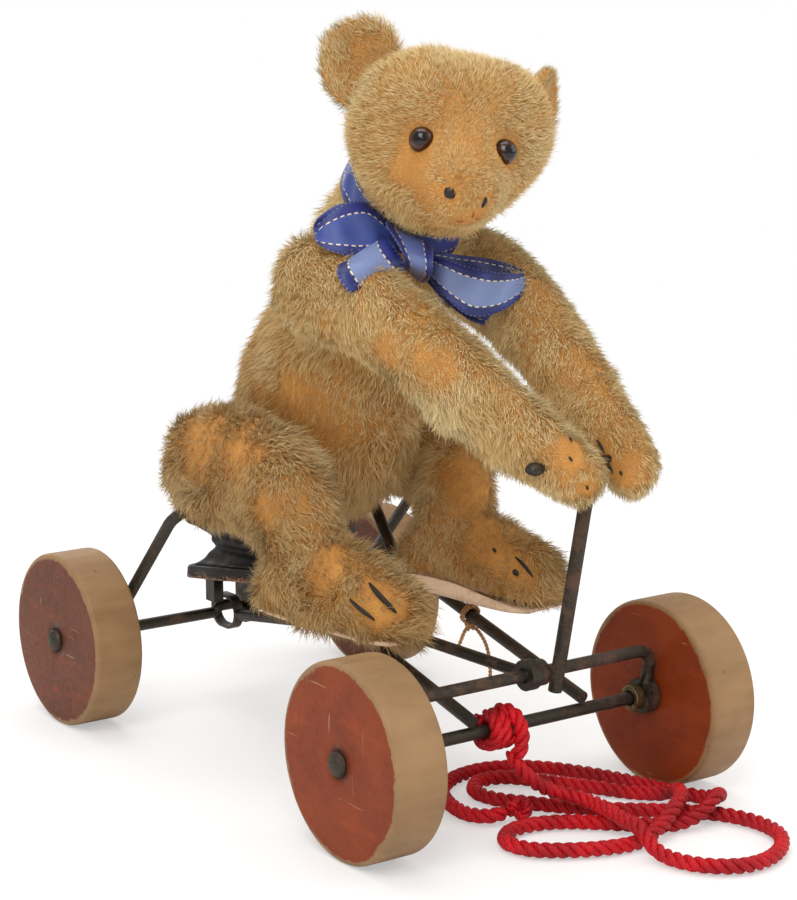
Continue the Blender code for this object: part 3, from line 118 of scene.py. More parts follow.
# Arms: y, z, half width, half thickness, from the shoulder to the paw
ARM = ((-20, 164, 10.5, 16), (-34, 161.5, 11.5, 15.8), (-55, 152, 11.8, 14.5), (-75, 139, 11.2, 12.8),
       (-93, 127.5, 10, 11.6), (-107, 119, 8.6, 10.8), (-113, 115, 7.6, 10))
SHOULDER = (31.0, -22.0, 163.0)
PAW_X = {"right": -3.0, "left": 20.6}
# Legs: y, z, half width, half thickness, from the hip to the ankle
LEG = ((40, 98.5, 12.5, 18.5), (22, 99.5, 13.5, 20.5), (4, 98.5, 13.5, 20), (-12, 92, 13, 18.5),
       (-18, 83.5, 12.5, 16.5), (-18.8, 76.8, 11.8, 14.8))
LEG_X = {"right": (-37.6, -37.6, -37.6, -37.4, -37.4, -37.4), "left": (37.6, 37.8, 33.8, 28.0, 24.2, 21.8)}
# Feet: share of the length from heel to toe, half width, height
FOOT = (
    (0.03, 7, 12), (0.14, 11, 20), (0.32, 12.2, 27), (0.52, 12.4, 26.5), (0.72, 12.6, 23), (0.88, 11.5, 18),
    (0.97, 7.5, 12),
)
FOOT_LINE = {"right": ((-40, 0, 57.0), (-31, -70.5, 57.0)), "left": ((19, 3, 58.9), (27, -69, 58.9))}
SOLE_THICK = 1.4
SOLE_GAP = 0.3
SOLE_TURN_UP = 4.8  # how high the left sole's felt stands at the inner side
# Flat places at the joints: y and z, how far they reach and x, in metres of the frame
HIP, HIP_REACH, HIP_FACE = (0.0392, 0.084), 0.0125, 0.0236
SHOULDER_REACH = 0.026
LEG_VOXEL = 0.0011

NECK = np.array((1.5, -32.0, 191.5))
NECK_LEAN = radians(38)
NECK_GAP = 0.0006
HEAD = np.array((1.3, -45.7, 209.1))
HEAD_HALF = np.array((32.0, 26.2, 28.3))
HEAD_TURN = (-25.5, -5.7, 9.2)  # degrees about z, x and y
EAR_HALF_WIDTH, EAR_HALF_HEIGHT, EAR_BULGE, EAR_HOLLOW = 12, 14, 3.4, 5.2
EYE_WAY, EYE_LOW = (12.7, -24.7, -1.2), 30  # towards an eye from the head's centre, and how far out it sits
EYE_RADIUS = 4.0
EARS = {"right": ((-30.5, 4.0, 21.5), radians(-14)), "left": ((30.0, 4.0, 15.0), radians(62))}

# The pull rope's route over the floor, from the front axle's knot to its far end. Its height is LOW where it
# lies on the floor and HIGH where it crosses itself
ROPE_THICK = 4.8
ROPE_PITCH = 10.5
LOW, HIGH = 2.8, 8.3
ROPE_ROUTE = (
    (-7.8, -93.6, 20.4), (-3, -96.2, 14.6), (3, -97.5, 10.6), (8, -100, 8.7), (10.5, -106, HIGH),
    (10.2, -115, HIGH), (8.5, -125, HIGH), (7.2, -134, 8.0), (6.8, -143, 3.6), (8.2, -152, LOW),
    (13, -160.5, LOW), (21.5, -165.8, LOW), (31.5, -165.5, LOW), (41, -160.5, LOW), (48, -152.5, LOW),
    (50, -143, LOW), (48, -133, LOW), (43, -125, LOW), (36, -118, LOW), (28, -111, LOW), (19, -103, LOW),
    (11, -94, LOW), (4, -85, LOW), (-2, -76, LOW), (-3, -66, LOW), (3.5, -59, LOW), (12.5, -60, LOW),
    (19.5, -68, LOW), (26, -78, LOW), (32, -88, LOW), (37.5, -97, LOW), (41.5, -105.5, 4.0),
    (41.5, -113.5, 7.7), (36.5, -120.5, HIGH), (29, -126.5, 8.6), (19.5, -130.5, 5.2), (9, -132.2, LOW),
    (-2, -130.5, LOW), (-12.5, -125.5, LOW), (-21.5, -118, LOW), (-23.5, -108.5, LOW), (-17, -102, LOW),
    (-7, -101.5, LOW), (3, -106, LOW), (11.5, -113.5, LOW), (19.5, -121, LOW), (28, -127, LOW),
    (36.5, -129.5, 5.2), (44.5, -128, 8.8), (51, -122.5, 6.2), (52.5, -114, 3.0), (49, -105, LOW),
    (46, -95, LOW), (42.5, -84.5, LOW), (37.5, -73, LOW), (31, -62, LOW), (22, -53.5, LOW), (11, -49.5, LOW),
    (-1, -51.5, LOW), (-11, -59, LOW), (-16.5, -70, LOW), (-18, -81, LOW), (-15, -89, 3.6),
)
KNOT = np.array((-12.0, -87.5, 31.0))
KNOT_WAY = np.array((0.1, -0.50, -0.866))
KNOT_REACH, END_KNOT_REACH = 7.8, 4.9  # how far the rope's ends lie from the middles of the knots
WRAP = 4.4  # radius of the turns round the axle
KNOT_END = (
    (-10.2, -83.6, 32.0), (-9.4, -84.6, 35.0), (-8.0, -88.0, 36.6), (-6.9, -91.9, 35.2), (-6.2, -94.0, 31.0),
    (-6.8, -94.6, 26.8), (-7.6, -93.9, 22.6),
)
END_KNOT = np.array((-5.2, -92.5, 5.0))
END_KNOT_SIZE, END_KNOT_THICK = (1.05, 1.05, 1.7), 3.4
TWINE_THICK = 1.4
TWINE_PITCH = 2.6
TWINE_ROUTE = (
    (15.5, -30.5, 37.2), (18.2, -30, 41.5), (20.5, -29.6, 44.9), (22.2, -30, 46.1), (23.8, -31.5, 45.2),
    (25, -34.8, 41), (25.4, -36.8, 35), (25.6, -36.8, 28),
)
HITCH_LEGS = (((21.2, -30.2, 44.6), (21.9, -30.0, 47.5), (21.3, -29.8, 52.5), (21.8, -29.6, 58.9)),
              ((23.0, -30.6, 44.8), (22.7, -30.4, 48.2), (22.9, -30.3, 53.0), (22.7, -30.0, 58.9)))
HITCH_RING = (22.2, -30.2, 46.4)
RAIL_TIE = (22.0, -30.0, 50.4713)  # where the twine is wound round the left rail
RAIL_WRAP = 3.1  # radius of its turns
RAIL_SLOPE = atan(21.3 / 81.5)

# Bald or thin places in the pile: x, y, z, radius, how bare. These are in the frame's own millimetres
BALD = (
    (-25.4, -60.2, 203.5, 8, 0.95), (-27.5, -66, 196.0, 8, 0.8), (-13.7, -60, 187, 9, 0.5),
    (-14.0, -74.0, 190.0, 7, 0.6), (-28.0, -60.0, 209.5, 6, 0.6), (-4.0, -69.0, 207.5, 5, 0.7),
    (-49.4, 30.8, 107.8, 13, 0.8), (-48.6, 6.5, 109.7, 10, 0.7), (-49.7, -13.4, 94.8, 7, 0.7),
    (-45.0, -38.0, 77.4, 9, 0.75), (-38, -62, 71, 8, 0.8), (-46, -2, 112, 6, 0.6),
    (-33.0, -57.2, 148.7, 8, 0.7), (-27.5, -73.1, 145.5, 9, 0.75), (-38.6, -32.7, 155.9, 7, 0.4),
    (-23.5, 5.6, 123.9, 12, 0.75), (-17.7, -3.5, 116.1, 10, 0.7), (-25.6, 24.2, 121.6, 9, 0.5),
    (-9.4, -113.3, 120.3, 7, 0.75), (22.3, -27.6, 96.6, 10, 0.7), (15.0, -42.6, 79.7, 9, 0.6),
    (19.0, -85.7, 142.7, 9, 0.35), (13.5, -113.9, 116.2, 6, 0.7),
)
# Sewn lines where the pile lies flatter
SEAMS = (((-10.6, -63.3, 225.7), (-15.1, -70.7, 212.6), (-20.1, -75.8, 202.6)),)
# Longer wisps: x, y, z, radius
FRINGES = (
    (-24, -72, 130, 16), (-18, -90, 118, 12), (-44, 36, 92, 16), (-40, -8, 112, 12), (-30, -64, 66, 12),
    (28, -60, 70, 10), (0, -6, 96, 18), (-38, -30, 66, 14),
)
# Dark thread: places of each stitch's ends and its half thickness, in the frame's own millimetres
CLAWS = {
    "cart": (((-44.8, -54.2, 71.2), (-44.3, -58.4, 69.2), (-41.8, -63.4, 66.0), 0.7),
             ((-39.4, -57.0, 76.2), (-39.0, -62.0, 73.2), (-36.2, -67.2, 68.2), 0.85),
             ((15.7, -59.6, 72.8), (15.7, -60.6, 72.2), (16.0, -61.6, 71.4), 0.95),
             ((18.2, -57.2, 76.4), (18.9, -61.0, 74.2), (19.6, -64.8, 71.0), 0.6),
             ((15.2, -49.4, 78.2), (15.2, -50.0, 77.8), (15.2, -50.8, 77.2), 0.55)),
    "right_arm": (((-5.6, -112.9, 126.6), (-5.6, -113.6, 126.1), (-5.7, -114.2, 125.6), 0.42),
                  ((-7.9, -115.6, 121.5), (-7.7, -116.1, 120.9), (-7.5, -116.6, 120.2), 0.45),
                  ((-3.6, -118.6, 112.7), (-3.5, -118.9, 112.1), (-3.4, -119.0, 111.4), 0.42)),
    "left_arm": (((12.7, -104.0, 122.6), (12.8, -105.6, 120.8), (13.0, -107.0, 118.8), 0.5),
                 ((13.2, -107.6, 117.0), (13.4, -109.0, 115.0), (13.8, -110.2, 113.0), 0.5),
                 ((13.4, -113.8, 114.4), (13.4, -114.3, 113.9), (13.5, -114.8, 113.2), 0.45)),
}
NOSTRILS = (((-23.0, -75.2, 198.6), (-22.4, -76.4, 197.3), (-21.5, -76.8, 195.8), 1.75),
            ((-11.5, -79.6, 196.4), (-11.8, -79.4, 194.8), (-12.2, -78.4, 192.6), 1.05))
MOUTH = (((-14.4, -78.3, 192.0), (-14.2, -77.4, 190.4), (-13.8, -76.0, 189.2), 0.22),
         ((-12.6, -75.8, 189.0), (-11.8, -75.9, 188.9), (-10.8, -75.8, 189.4), 0.22),
         ((-17.4, -72.8, 188.3), (-16.4, -73.2, 188.1), (-15.4, -73.8, 188.2), 0.22))

# Ribbon: pairs of edge places along each piece, in the frame's own millimetres
RIBBON_WIDE, RIBBON_THICK = 18.5, 0.22
BAND_HALF_WIDTH, BAND_HALF_DEPTH, BAND_BACK = 18.7, 23.4, 7.6
BAND_EDGES = ((-0.4, -0.6), (-11.2, 0.7))  # how far each edge lies above the neck joint, and how much wider
BOW_PIECES = {
    "bow_right_loop": (
        ((-12.9, -33.9, 183.1), (-13.6, -35.9, 172.5)), ((-20.1, -31.0, 191.0), (-21.7, -38.6, 174.9)),
        ((-28.2, -30.1, 191.7), (-30.6, -37.2, 175.4)), ((-35.9, -28.6, 187.1), (-37.5, -33.1, 177.8)),
        ((-38.2, -26.2, 183.2), (-38.6, -28.9, 179.7)), ((-34.7, -23.4, 187.0), (-35.6, -26.9, 178.8)),
        ((-24.5, -23.5, 191.1), (-26.1, -28.9, 178.9)), ((-13.8, -28.5, 187.3), (-13.6, -32.5, 177.1))),
    "bow_tail": (
        ((-13.5, -33.9, 179.2), (-29.5, -35.5, 175.6)), ((-18.4, -38.2, 181.4), (-37.2, -38.6, 173.4)),
        ((-20.1, -44.1, 178.5), (-40.6, -43.1, 170.6)), ((-16.8, -45.3, 173.6), (-37.7, -45.9, 165.7)),
        ((-11.8, -40.8, 170.8), (-32.0, -42.3, 168.2))),
    "bow_knot": (
        ((-13.4, -33.9, 185.6), (-3.2, -36.4, 178.2)), ((-18.9, -38.1, 185.1), (-6.8, -45.9, 178.1)),
        ((-20.0, -46.0, 179.4), (-10.0, -50.9, 173.6)), ((-17.5, -46.8, 173.8), (-9.6, -49.0, 168.6)),
        ((-12.0, -39.1, 170.2), (-6.8, -41.3, 165.9))),
    "bow_left_loop": (
        ((-3.4, -40.1, 174.8), (-4.7, -40.8, 167.9)), ((0.3, -46.0, 172.9), (-4.5, -50.3, 162.0)),
        ((7.7, -50.8, 170.3), (0.4, -56.3, 156.5)), ((16.1, -53.5, 168.7), (10.7, -58.4, 157.2)),
        ((23.4, -53.6, 168.3), (22.2, -56.6, 162.2)), ((24.9, -49.5, 169.6), (24.0, -52.0, 163.4)),
        ((18.4, -44.2, 172.2), (17.0, -47.0, 164.9)), ((8.9, -40.8, 173.8), (7.7, -42.4, 167.5)),
        ((-1.2, -38.2, 175.6), (-1.7, -39.0, 170.5))),
    "bow_left_tail": (
        ((-1.5, -38.6, 171.0), (-4.8, -39.7, 166.8)), ((3.3, -44.0, 165.2), (-2.6, -46.5, 160.6)),
        ((9.9, -50.4, 160.3), (2.5, -52.4, 155.0)), ((13.6, -53.3, 157.9), (6.9, -54.7, 152.7))),
}
# How pale the middle of each piece is along its length. Below 0 the middle is darkened as painted shade,
# inside the loops and by the knot
BOW_TONES = {
    "bow_right_loop": (0.1, 0.15, 0.1, 0.0, -0.4, -0.9, -1.0, -1.0),
    "bow_tail": (0.2, 0.9, 1.0, 0.8, 0.2),
    "bow_knot": (0.0, 0.2, 0.5, 0.8, 0.4),
    "bow_left_loop": (0.3, 0.9, 1.0, 1.0, 0.7, -0.6, -1.0, -1.0, -1.0),
    "bow_left_tail": (-0.6, 0.2, 0.3, 0.2),
}

# Camera: fitted to the photograph. Lamps: place, size in metres, power in watts
CAMERA_LENS = 92.93
CAMERA_ANGLES = (-35.4, 10.7, -0.28)  # turn, rise and roll in degrees
CAMERA_PLACE = (-0.43846, -0.63471, 0.25083)
LAMPS = {
    "key": ((-0.9, -0.8, 1.35), 0.9, 12.5), "fill": ((1.1, -0.7, 0.7), 1.0, 4.5),
    "top": ((0.1, 0.2, 1.5), 1.1, 8.5), "rear": ((0.2, 1.3, 0.8), 1.0, 5.0),
    "spark": ((-0.62, -0.75, 0.62), 0.07, 0.5), "second spark": ((-0.5, -0.9, 0.52), 0.05, 0.3),
}
LAMPS_AIM = Vector((0, -0.02, 0.1))
AMBIENT, AMBIENT_STRENGTH, WHITE = (1.0, 0.97, 0.93, 1), 0.58, (1, 1, 1, 1)


def srgb(*values):
    """A colour given in display values from 0 to 255, as linear light."""
    return tuple(((v / 255 + 0.055) / 1.055) ** 2.4 if v > 10 else v / 255 / 12.92 for v in values)


def angles(count):
    return np.arange(count) * 2 * pi / count


def unit(v):
    v = np.asarray(v, float)
    return v / np.linalg.norm(v, axis=-1, keepdims=True)


def through(points, steps):
    """A smooth curve through rows of numbers, with the same number of steps in each stretch."""
    pts = np.asarray(points, float)
    pts = np.vstack((2 * pts[0] - pts[1], pts, 2 * pts[-1] - pts[-2]))
    t = (np.arange(steps) / steps)[:, None]
    out = [b + t * ((c - a) / 2 + t * (a - 2.5 * b + 2 * c - d / 2 + t * (1.5 * (b - c) + (d - a) / 2)))
           for a, b, c, d in zip(pts, pts[1:], pts[2:], pts[3:])]
    return np.vstack((*out, pts[-2:-1]))


def lengths(points):
    """How far along the path each point lies."""
    return np.concatenate(((0,), np.cumsum(np.linalg.norm(np.diff(points, axis=0), axis=1))))


def evenly(points, count):
    """The same path with evenly spaced points."""
    run = lengths(points)
    want = np.linspace(0, run[-1], count)
    return np.stack([np.interp(want, run, points[:, k]) for k in range(3)], 1)


def frames_along(points):
    """Two side vectors at each point of a path, turned as little as possible."""
    ways = unit(np.gradient(points, axis=0))
    side = unit(np.cross(ways[0], (0.3, 0.5, 0.8)))
    sides = []
    for way in ways:
        side = unit(side - way * side.dot(way))
        sides.append(side)
    sides = np.array(sides)
    return sides, np.cross(ways, sides)


class Shape:
    """Points and faces in millimetres, gathered before they become one mesh."""

    def __init__(self):
        self.points, self.faces, self.uvs, self.marks = [], [], [], {}

    def loft(self, rings, closed=False, marks=None):
        """Quads from ring to ring. Open ends get a fan, so that the form is closed."""
        rings = np.asarray(rings, float)
        n, m = rings.shape[:2]
        base = sum(len(p) for p in self.points)
        run = lengths(rings.mean(1))
        for i in range(n if closed else n - 1):
            k = (i + 1) % n
            for j in range(m):
                q = (j + 1) % m
                self.faces.append((base + i * m + j, base + i * m + q, base + k * m + q, base + k * m + j))
                low, high = run[i], run[k] if k else run[i]
                u, v = j / m, (j + 1) / m
                self.uvs += [(u, low), (v, low), (v, high), (u, high)]
        extra = []
        if not closed:
            for row in (0, n - 1):
                middle = base + n * m + len(extra)
                extra.append(rings[row].mean(0))
                for j in range(m):
                    a, b = base + row * m + j, base + row * m + (j + 1) % m
                    self.faces.append((a, b, middle) if row else (b, a, middle))
                    self.uvs += [(j / m, run[row])] * 3
        self.points.append(np.vstack((*rings, *extra)))
        for name, values in (marks or {}).items():
            values = np.asarray(values, float).reshape(n * m)
            ends = [values[0], values[-1]][:len(extra)]
            self.marks.setdefault(name, []).append(np.concatenate((values, ends)))
        return self

    def tube(self, path, radius, sides):
        """A round bar along a path, whose radius may change."""
        path = np.asarray(path, float)
        u, v = frames_along(path)
        r = np.broadcast_to(np.asarray(radius, float), (len(path),))[:, None, None]
        a = angles(sides)
        ring = np.cos(a)[None, :, None] * u[:, None] + np.sin(a)[None, :, None] * v[:, None]
        return self.loft(path[:, None] + r * ring)

    def mesh(self, name, shift=True, out=True):
        """The gathered faces as one Blender mesh in metres, shifted to the frame's origin and facing out."""
        data = bpy.data.meshes.new(name)
        pts = np.vstack(self.points)
        if out and volume(pts, self.faces) < 0:
            uvs = iter(self.uvs)
            self.uvs = [corner for f in self.faces for corner in [next(uvs) for _ in f][::-1]]
            self.faces = [f[::-1] for f in self.faces]
        data.from_pydata(pts * MM + (FORWARD if shift else 0), [], self.faces)
        layer = data.uv_layers.new(name="weave")
        layer.data.foreach_set("uv", np.asarray(self.uvs, np.float32).ravel())
        for key, parts in self.marks.items():
            mark(data, key, np.concatenate(parts))
        data.update()
        data.shade_smooth()
        return data


def volume(pts, faces):
    """Signed volume inside closed faces, whose sign tells which way they look."""
    corners = np.array([(*f, f[0])[:4] for f in faces])
    a, b, c, d = (pts[corners[:, k]] - pts.mean(0) for k in range(4))
    return (a * (np.cross(b, c) + np.cross(c, d))).sum()


def mark(data, name, values, kind="FLOAT"):
    """Store one number or vector for each point of a mesh."""
    values = np.asarray(values, np.float32)
    layer = data.attributes.new(name, kind, "POINT")
    layer.data.foreach_set("value" if kind == "FLOAT" else "vector", values.ravel())


def rows_of(items, key):
    out = np.empty(len(items) * 3, np.float32)
    items.foreach_get(key, out)
    return out.reshape(-1, 3).astype(float)


def forget(data, *names):
    """Remove marks that have done their work."""
    for name in names:
        if name in data.attributes:
            data.attributes.remove(data.attributes[name])


def points_of(data):
    return rows_of(data.vertices, "co")


def normals_of(data):
    return rows_of(data.vertex_normals, "vector")


def set_points(data, pts):
    data.vertices.foreach_set("co", np.asarray(pts, np.float32).ravel())
    data.update()


def cloudy(pts, scale, seed=0.0):
    """Soft random values from -1 to 1 at points in metres. The scale is in millimetres."""
    size = 1000 / scale
    return np.array([noise.noise(Vector((x * size + seed, y * size - seed, z * size + seed * 0.7)))
                     for x, y, z in pts])


def away_from(pts, place):
    """How far points in metres lie from a place in millimetres, in millimetres."""
    return np.linalg.norm(pts - np.array(place) * MM, axis=1) / MM


def add(name, data, finish=None, body=None, instead=()):
    """Put a mesh, shape, lamp or camera in the scene. A body makes it a piece of the toy."""
    if isinstance(data, Shape):
        data = data.mesh(name)
    thing = bpy.data.objects.new(name, data)
    bpy.context.scene.collection.objects.link(thing)
    if finish:
        data.materials.clear()
        data.materials.append(finish)
    if body:
        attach(thing, body)
    if instead:
        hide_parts(*instead)
    return thing


def settle(thing):
    """Make the result of a piece's modifiers plain."""
    deps = bpy.context.evaluated_depsgraph_get()
    made = bpy.data.meshes.new_from_object(thing.evaluated_get(deps), preserve_all_data_layers=True,
                                           depsgraph=deps)
    old = thing.data
    thing.modifiers.clear()
    thing.data = made
    bpy.data.meshes.remove(old)
    return made


def refined_copy(node, bevel=0.0):
    """A merged and smoothed copy of a solid of the frame."""
    bm = bmesh.new()
    bm.from_mesh(frame["nodes"][node].data)
    bmesh.ops.remove_doubles(bm, verts=bm.verts, dist=0.000002)
    bmesh.ops.dissolve_limit(bm, angle_limit=radians(0.5), verts=bm.verts, edges=bm.edges)
    data = bpy.data.meshes.new(node)
    bm.to_mesh(data)
    bm.free()
    data.shade_smooth()
    data.set_sharp_from_angle(angle=radians(40))
    if bevel:
        thing = add("bevelling", data)
        edge = thing.modifiers.new("edge", "BEVEL")
        edge.width, edge.segments, edge.limit_method, edge.angle_limit = bevel, 3, "ANGLE", radians(35)
        data = settle(thing)
        bpy.data.objects.remove(thing)
        data.shade_smooth()
    return data


class Wire:
    """One socket of a node tree, with plain arithmetic."""

    def __init__(self, tree, socket):
        self.tree, self.socket = tree, socket

    def maths(self, operation, *values):
        return self.tree.make("ShaderNodeMath", {"operation": operation}, dict(enumerate(values)))

    def __add__(self, other):
        return self.maths("ADD", self, other)

    def __sub__(self, other):
        return self.maths("SUBTRACT", self, other)

    def __rsub__(self, other):
        return self.maths("SUBTRACT", other, self)

    def __mul__(self, other):
        return self.maths("MULTIPLY", self, other)

    __radd__, __rmul__ = __add__, __mul__

    def sine(self):
        return self.maths("SINE", self)

    def absolute(self):
        return self.maths("ABSOLUTE", self)

    def between(self, low, high, to_low=0.0, to_high=1.0):
        """A soft step from one value to another."""
        return self.tree.make("ShaderNodeMapRange", {"interpolation_type": "SMOOTHSTEP", "clamp": True},
                              {0: self, 1: low, 2: high, 3: to_low, 4: to_high})


class Tree:
    """A node tree that is built a node at a time."""

    def __init__(self, tree):
        self.tree = tree
        tree.nodes.clear()

    def make(self, kind, settings=None, values=None, out=0):
        node = self.tree.nodes.new(kind)
        for key, value in (settings or {}).items():
            setattr(node, key, value)
        for key, value in (values or {}).items():
            socket = node.inputs[key]
            if isinstance(value, Wire):
                self.tree.links.new(value.socket, socket)
            else:
                socket.default_value = value
        return Wire(self, node.outputs[out]) if len(node.outputs) else node

    def vector(self, operation, a, b=None):
        """Vector arithmetic. The second value is a vector, or a number to scale by."""
        values = {0: a} if b is None else {0: a, "Scale" if operation == "SCALE" else 1: b}
        return self.make("ShaderNodeVectorMath", {"operation": operation}, values)

    def outputs(self, kind, values=None):
        """Every output of a new node."""
        return [Wire(self, socket) for socket in self.make(kind, None, values).socket.node.outputs]

    def rays(self, *names):
        """Whether the ray is of one of the kinds named."""
        found = self.make("ShaderNodeLightPath").socket.node.outputs
        return sum((Wire(self, found[name]) for name in names[1:]), Wire(self, found[names[0]]))

    def blend(self, factor, a, b):
        return self.make("ShaderNodeMixShader", None, {0: factor, 1: a, 2: b})

    def shaded(self, shader, kind="Material"):
        self.make(f"ShaderNodeOutput{kind}", None, {"Surface": shader})


class Finish(Tree):
    """One material, built from the piece's own place in space."""

    def __init__(self, name):
        self.material = bpy.data.materials.new(name)
        self.material.use_nodes = True
        super().__init__(self.material.node_tree)
        self.place = self.make("ShaderNodeTexCoord", out="Object")

    def noise(self, scale, detail=2.0, rough=0.5, seed=0.0, place=None):
        """Soft random values about 0.5. The scale is in waves a metre."""
        return self.make("ShaderNodeTexNoise", {"noise_dimensions": "4D"}, {
            "Vector": place or self.place, "W": seed, "Scale": scale, "Detail": detail, "Roughness": rough})

    def grain(self, scale, detail, rough, seed=0.0, turn=(0, 0, 0)):
        """Noise stretched along the axes, whose scale is in waves a metre along each."""
        return self.noise(1.0, detail, rough, seed, self.stretched(scale, turn))

    def stretched(self, scale, turn=(0, 0, 0)):
        return self.make("ShaderNodeMapping", {"vector_type": "POINT"},
                         {"Vector": self.place, "Rotation": turn, "Scale": scale})

    def mix(self, factor, a, b):
        """One colour to another."""
        a, b = ((*c, 1.0) if isinstance(c, tuple) and len(c) == 3 else c for c in (a, b))
        return self.make("ShaderNodeMix", {"data_type": "RGBA", "clamp_factor": True},
                         {0: factor, 6: a, 7: b}, 2)

    def over(self, colour, *layers):
        """A colour under layers, each with how much of it shows."""
        for factor, layer in layers:
            colour = self.mix(factor, colour, layer)
        return colour

    def attribute(self, name, out="Fac"):
        settings = {"attribute_type": "GEOMETRY", "attribute_name": name}
        return self.make("ShaderNodeAttribute", settings, out=out)

    def axes(self, place=None):
        return self.outputs("ShaderNodeSeparateXYZ", {0: place or self.place})

    def weave(self):
        """Across and along a ribbon or strand."""
        return self.axes(self.make("ShaderNodeUVMap", {"uv_map": "weave"}))[:2]

    def relief(self, height, depth, strength):
        """A small relief, whose depth is in metres."""
        return self.make("ShaderNodeBump", None, {"Strength": strength, "Distance": depth, "Height": height})

    def close(self, **values):
        """Finish with one glossy or matt surface. Its values are the shader's own inputs."""
        names = {"colour": "Base Color", "roughness": "Roughness", "metal": "Metallic", "normal": "Normal",
                 "shine": "Specular IOR Level", "fuzz": "Sheen Weight", "fuzz_roughness": "Sheen Roughness",
                 "glow": "Emission Color", "glow_strength": "Emission Strength"}
        self.shaded(self.make("ShaderNodeBsdfPrincipled", None, {names[k]: v for k, v in values.items()}))
        return self.material


def sizes():
    return bpy.context.scene.toy_sizes


def hue(name, share=1.0):
    """One of the toy's colours, made lighter or darker."""
    return tint(getattr(bpy.context.scene.toy_colours, name), share)


def tint(colour, share):
    return tuple(min(1.0, c * share) for c in colour)


def backing_cloth():
    """The woven cloth under the pile, which shows where the pile has gone."""
    f = Finish("worn backing cloth")
    x, y, z = f.axes(f.stretched((9500, 9500, 9500)))
    weave = (x + y * 0.7).sine() * (z + y * 0.3).sine() * 0.5 + 0.5
    stains, fine, soil = f.noise(70, 4, 0.6), f.noise(900, 3, 0.6), f.noise(1300, 4, 0.7, 7.0)
    felt = f.mix(soil.between(0.35, 0.7), hue("felt"), hue("felt", 0.8))
    colour = f.over(hue("soiled_cloth_and_pile_shade"), (stains.between(0.35, 0.68), hue("worn_cloth")),
                    (weave * 0.5 * fine.between(0.3, 0.7), hue("worn_cloth", 1.3)),
                    (f.attribute("felt"), felt))
    return f.close(colour=colour, roughness=0.9, shine=0.2, normal=f.relief(weave + fine, 0.0003, 0.7))


def mohair():
    """The pile: darker at the root, straw coloured at the tip, in shifting patches."""
    f = Finish("mohair pile")
    rise, vary, worn = f.attribute("rise"), f.attribute("hue"), f.attribute("worn")
    patch, streak = f.noise(48, 3, 0.55), f.noise(210, 2, 0.5, 3.0)
    tip = f.over(hue("pile_golden"), (patch.between(0.36, 0.66), hue("pile_pale")),
                 (streak.between(0.5, 0.75) * 0.6, hue("pile_golden")),
                 (worn.between(0.15, 0.85) * 0.55, hue("worn_cloth")), (vary * 0.55, hue("pile_tip")))
    _, y, z = f.axes()
    under = (z - y * 0.6).between(0.105, 0.175, 0.44, 0.0)  # painted shade: the pile is darker low down and in front
    colour = f.over(hue("pile_root"), (worn.between(0.05, 0.7), hue("worn_cloth")),
                    (rise.between(0.0, 0.8), tip),
                    ((vary * 7.13).sine().between(0.6, 1.0) * 0.3, hue("pile_root")),
                    (under, hue("soiled_cloth_and_pile_shade", 0.62)))
    own = f.vector("SCALE", f.make("ShaderNodeNewGeometry", out="Normal"), 0.45)
    lit = f.vector("NORMALIZE", f.vector("ADD", f.attribute("lie", "Vector"), own))
    # the pile's faint glow in its own colour is painted light: it lifts the shade among the hairs, standing
    # in for light shining through them
    return f.close(colour=colour, roughness=0.7, shine=0.2, normal=lit, glow=colour, glow_strength=0.17)


def painted_wood():
    """Turned wood whose faces keep their old paint and whose rims have lost it."""
    f = Finish("painted wheel wood")
    radial, side, tone = f.attribute("radial"), f.attribute("face"), f.attribute("tone")
    grain, rings = f.grain((30, 190, 190), 5, 0.55), f.grain((40, 60, 60), 3, 0.5, 2.0)
    fine, blotch, specks = f.noise(700, 4, 0.7, 4.0), f.noise(60, 5, 0.65, 6.0), f.noise(420, 1, 0.5, 21.0)
    wood = f.over(hue("bare_wood"), (grain.between(0.3, 0.75), hue("wood_grain")),
                  (rings.between(0.45, 0.7) * 0.6, hue("bare_wood", 1.2)),
                  (blotch.between(0.55, 0.78) * 0.35, hue("dirt")),
                  (specks.between(0.74, 0.78) * 0.7, hue("dirt", 0.6)))
    rubbed = f.grain((90, 40, 150), 4, 0.65, 9.0, (0.5, 0, 0))
    scratch = f.grain((60, 900, 50), 3, 0.6, 12.0, (0.9, 0, 0))
    nicks = f.grain((60, 60, 800), 3, 0.6, 14.0, (-0.6, 0, 0))
    where = f.noise(90, 2, 0.5, 31.0).between(0.44, 0.54)
    marks = (scratch.between(0.655, 0.70) + nicks.between(0.655, 0.70)) * where
    grey = f.mix(blotch.between(0.35, 0.65), hue("paint_grey"), hue("paint_grey", 0.75))
    paint = f.over(hue("paint"), (blotch.between(0.3, 0.74), hue("paint_dark")), (tone, grey),
                   (rubbed.between(0.5, 0.75) * 0.35, hue("paint", 1.6)),
                   (marks * 0.7, hue("bare_wood", 1.25)),
                   (radial.between(0.11, 0.21, 1.0, 0.0) * 0.8, hue("iron", 0.9)))
    rim = radial + (fine - 0.5) * 0.07 + (blotch - 0.5) * 0.16 + (specks - 0.5) * 0.05
    kept = side * (1 - rim.between(0.925, 0.955))
    height = grain * 0.25 + fine * 0.2 + kept * 0.3 - marks * 0.3
    return f.close(colour=f.mix(kept, wood, paint), roughness=fine.between(0.3, 0.7, 0.42, 0.62), shine=0.2,
                   normal=f.relief(height, 0.0003, 0.5))


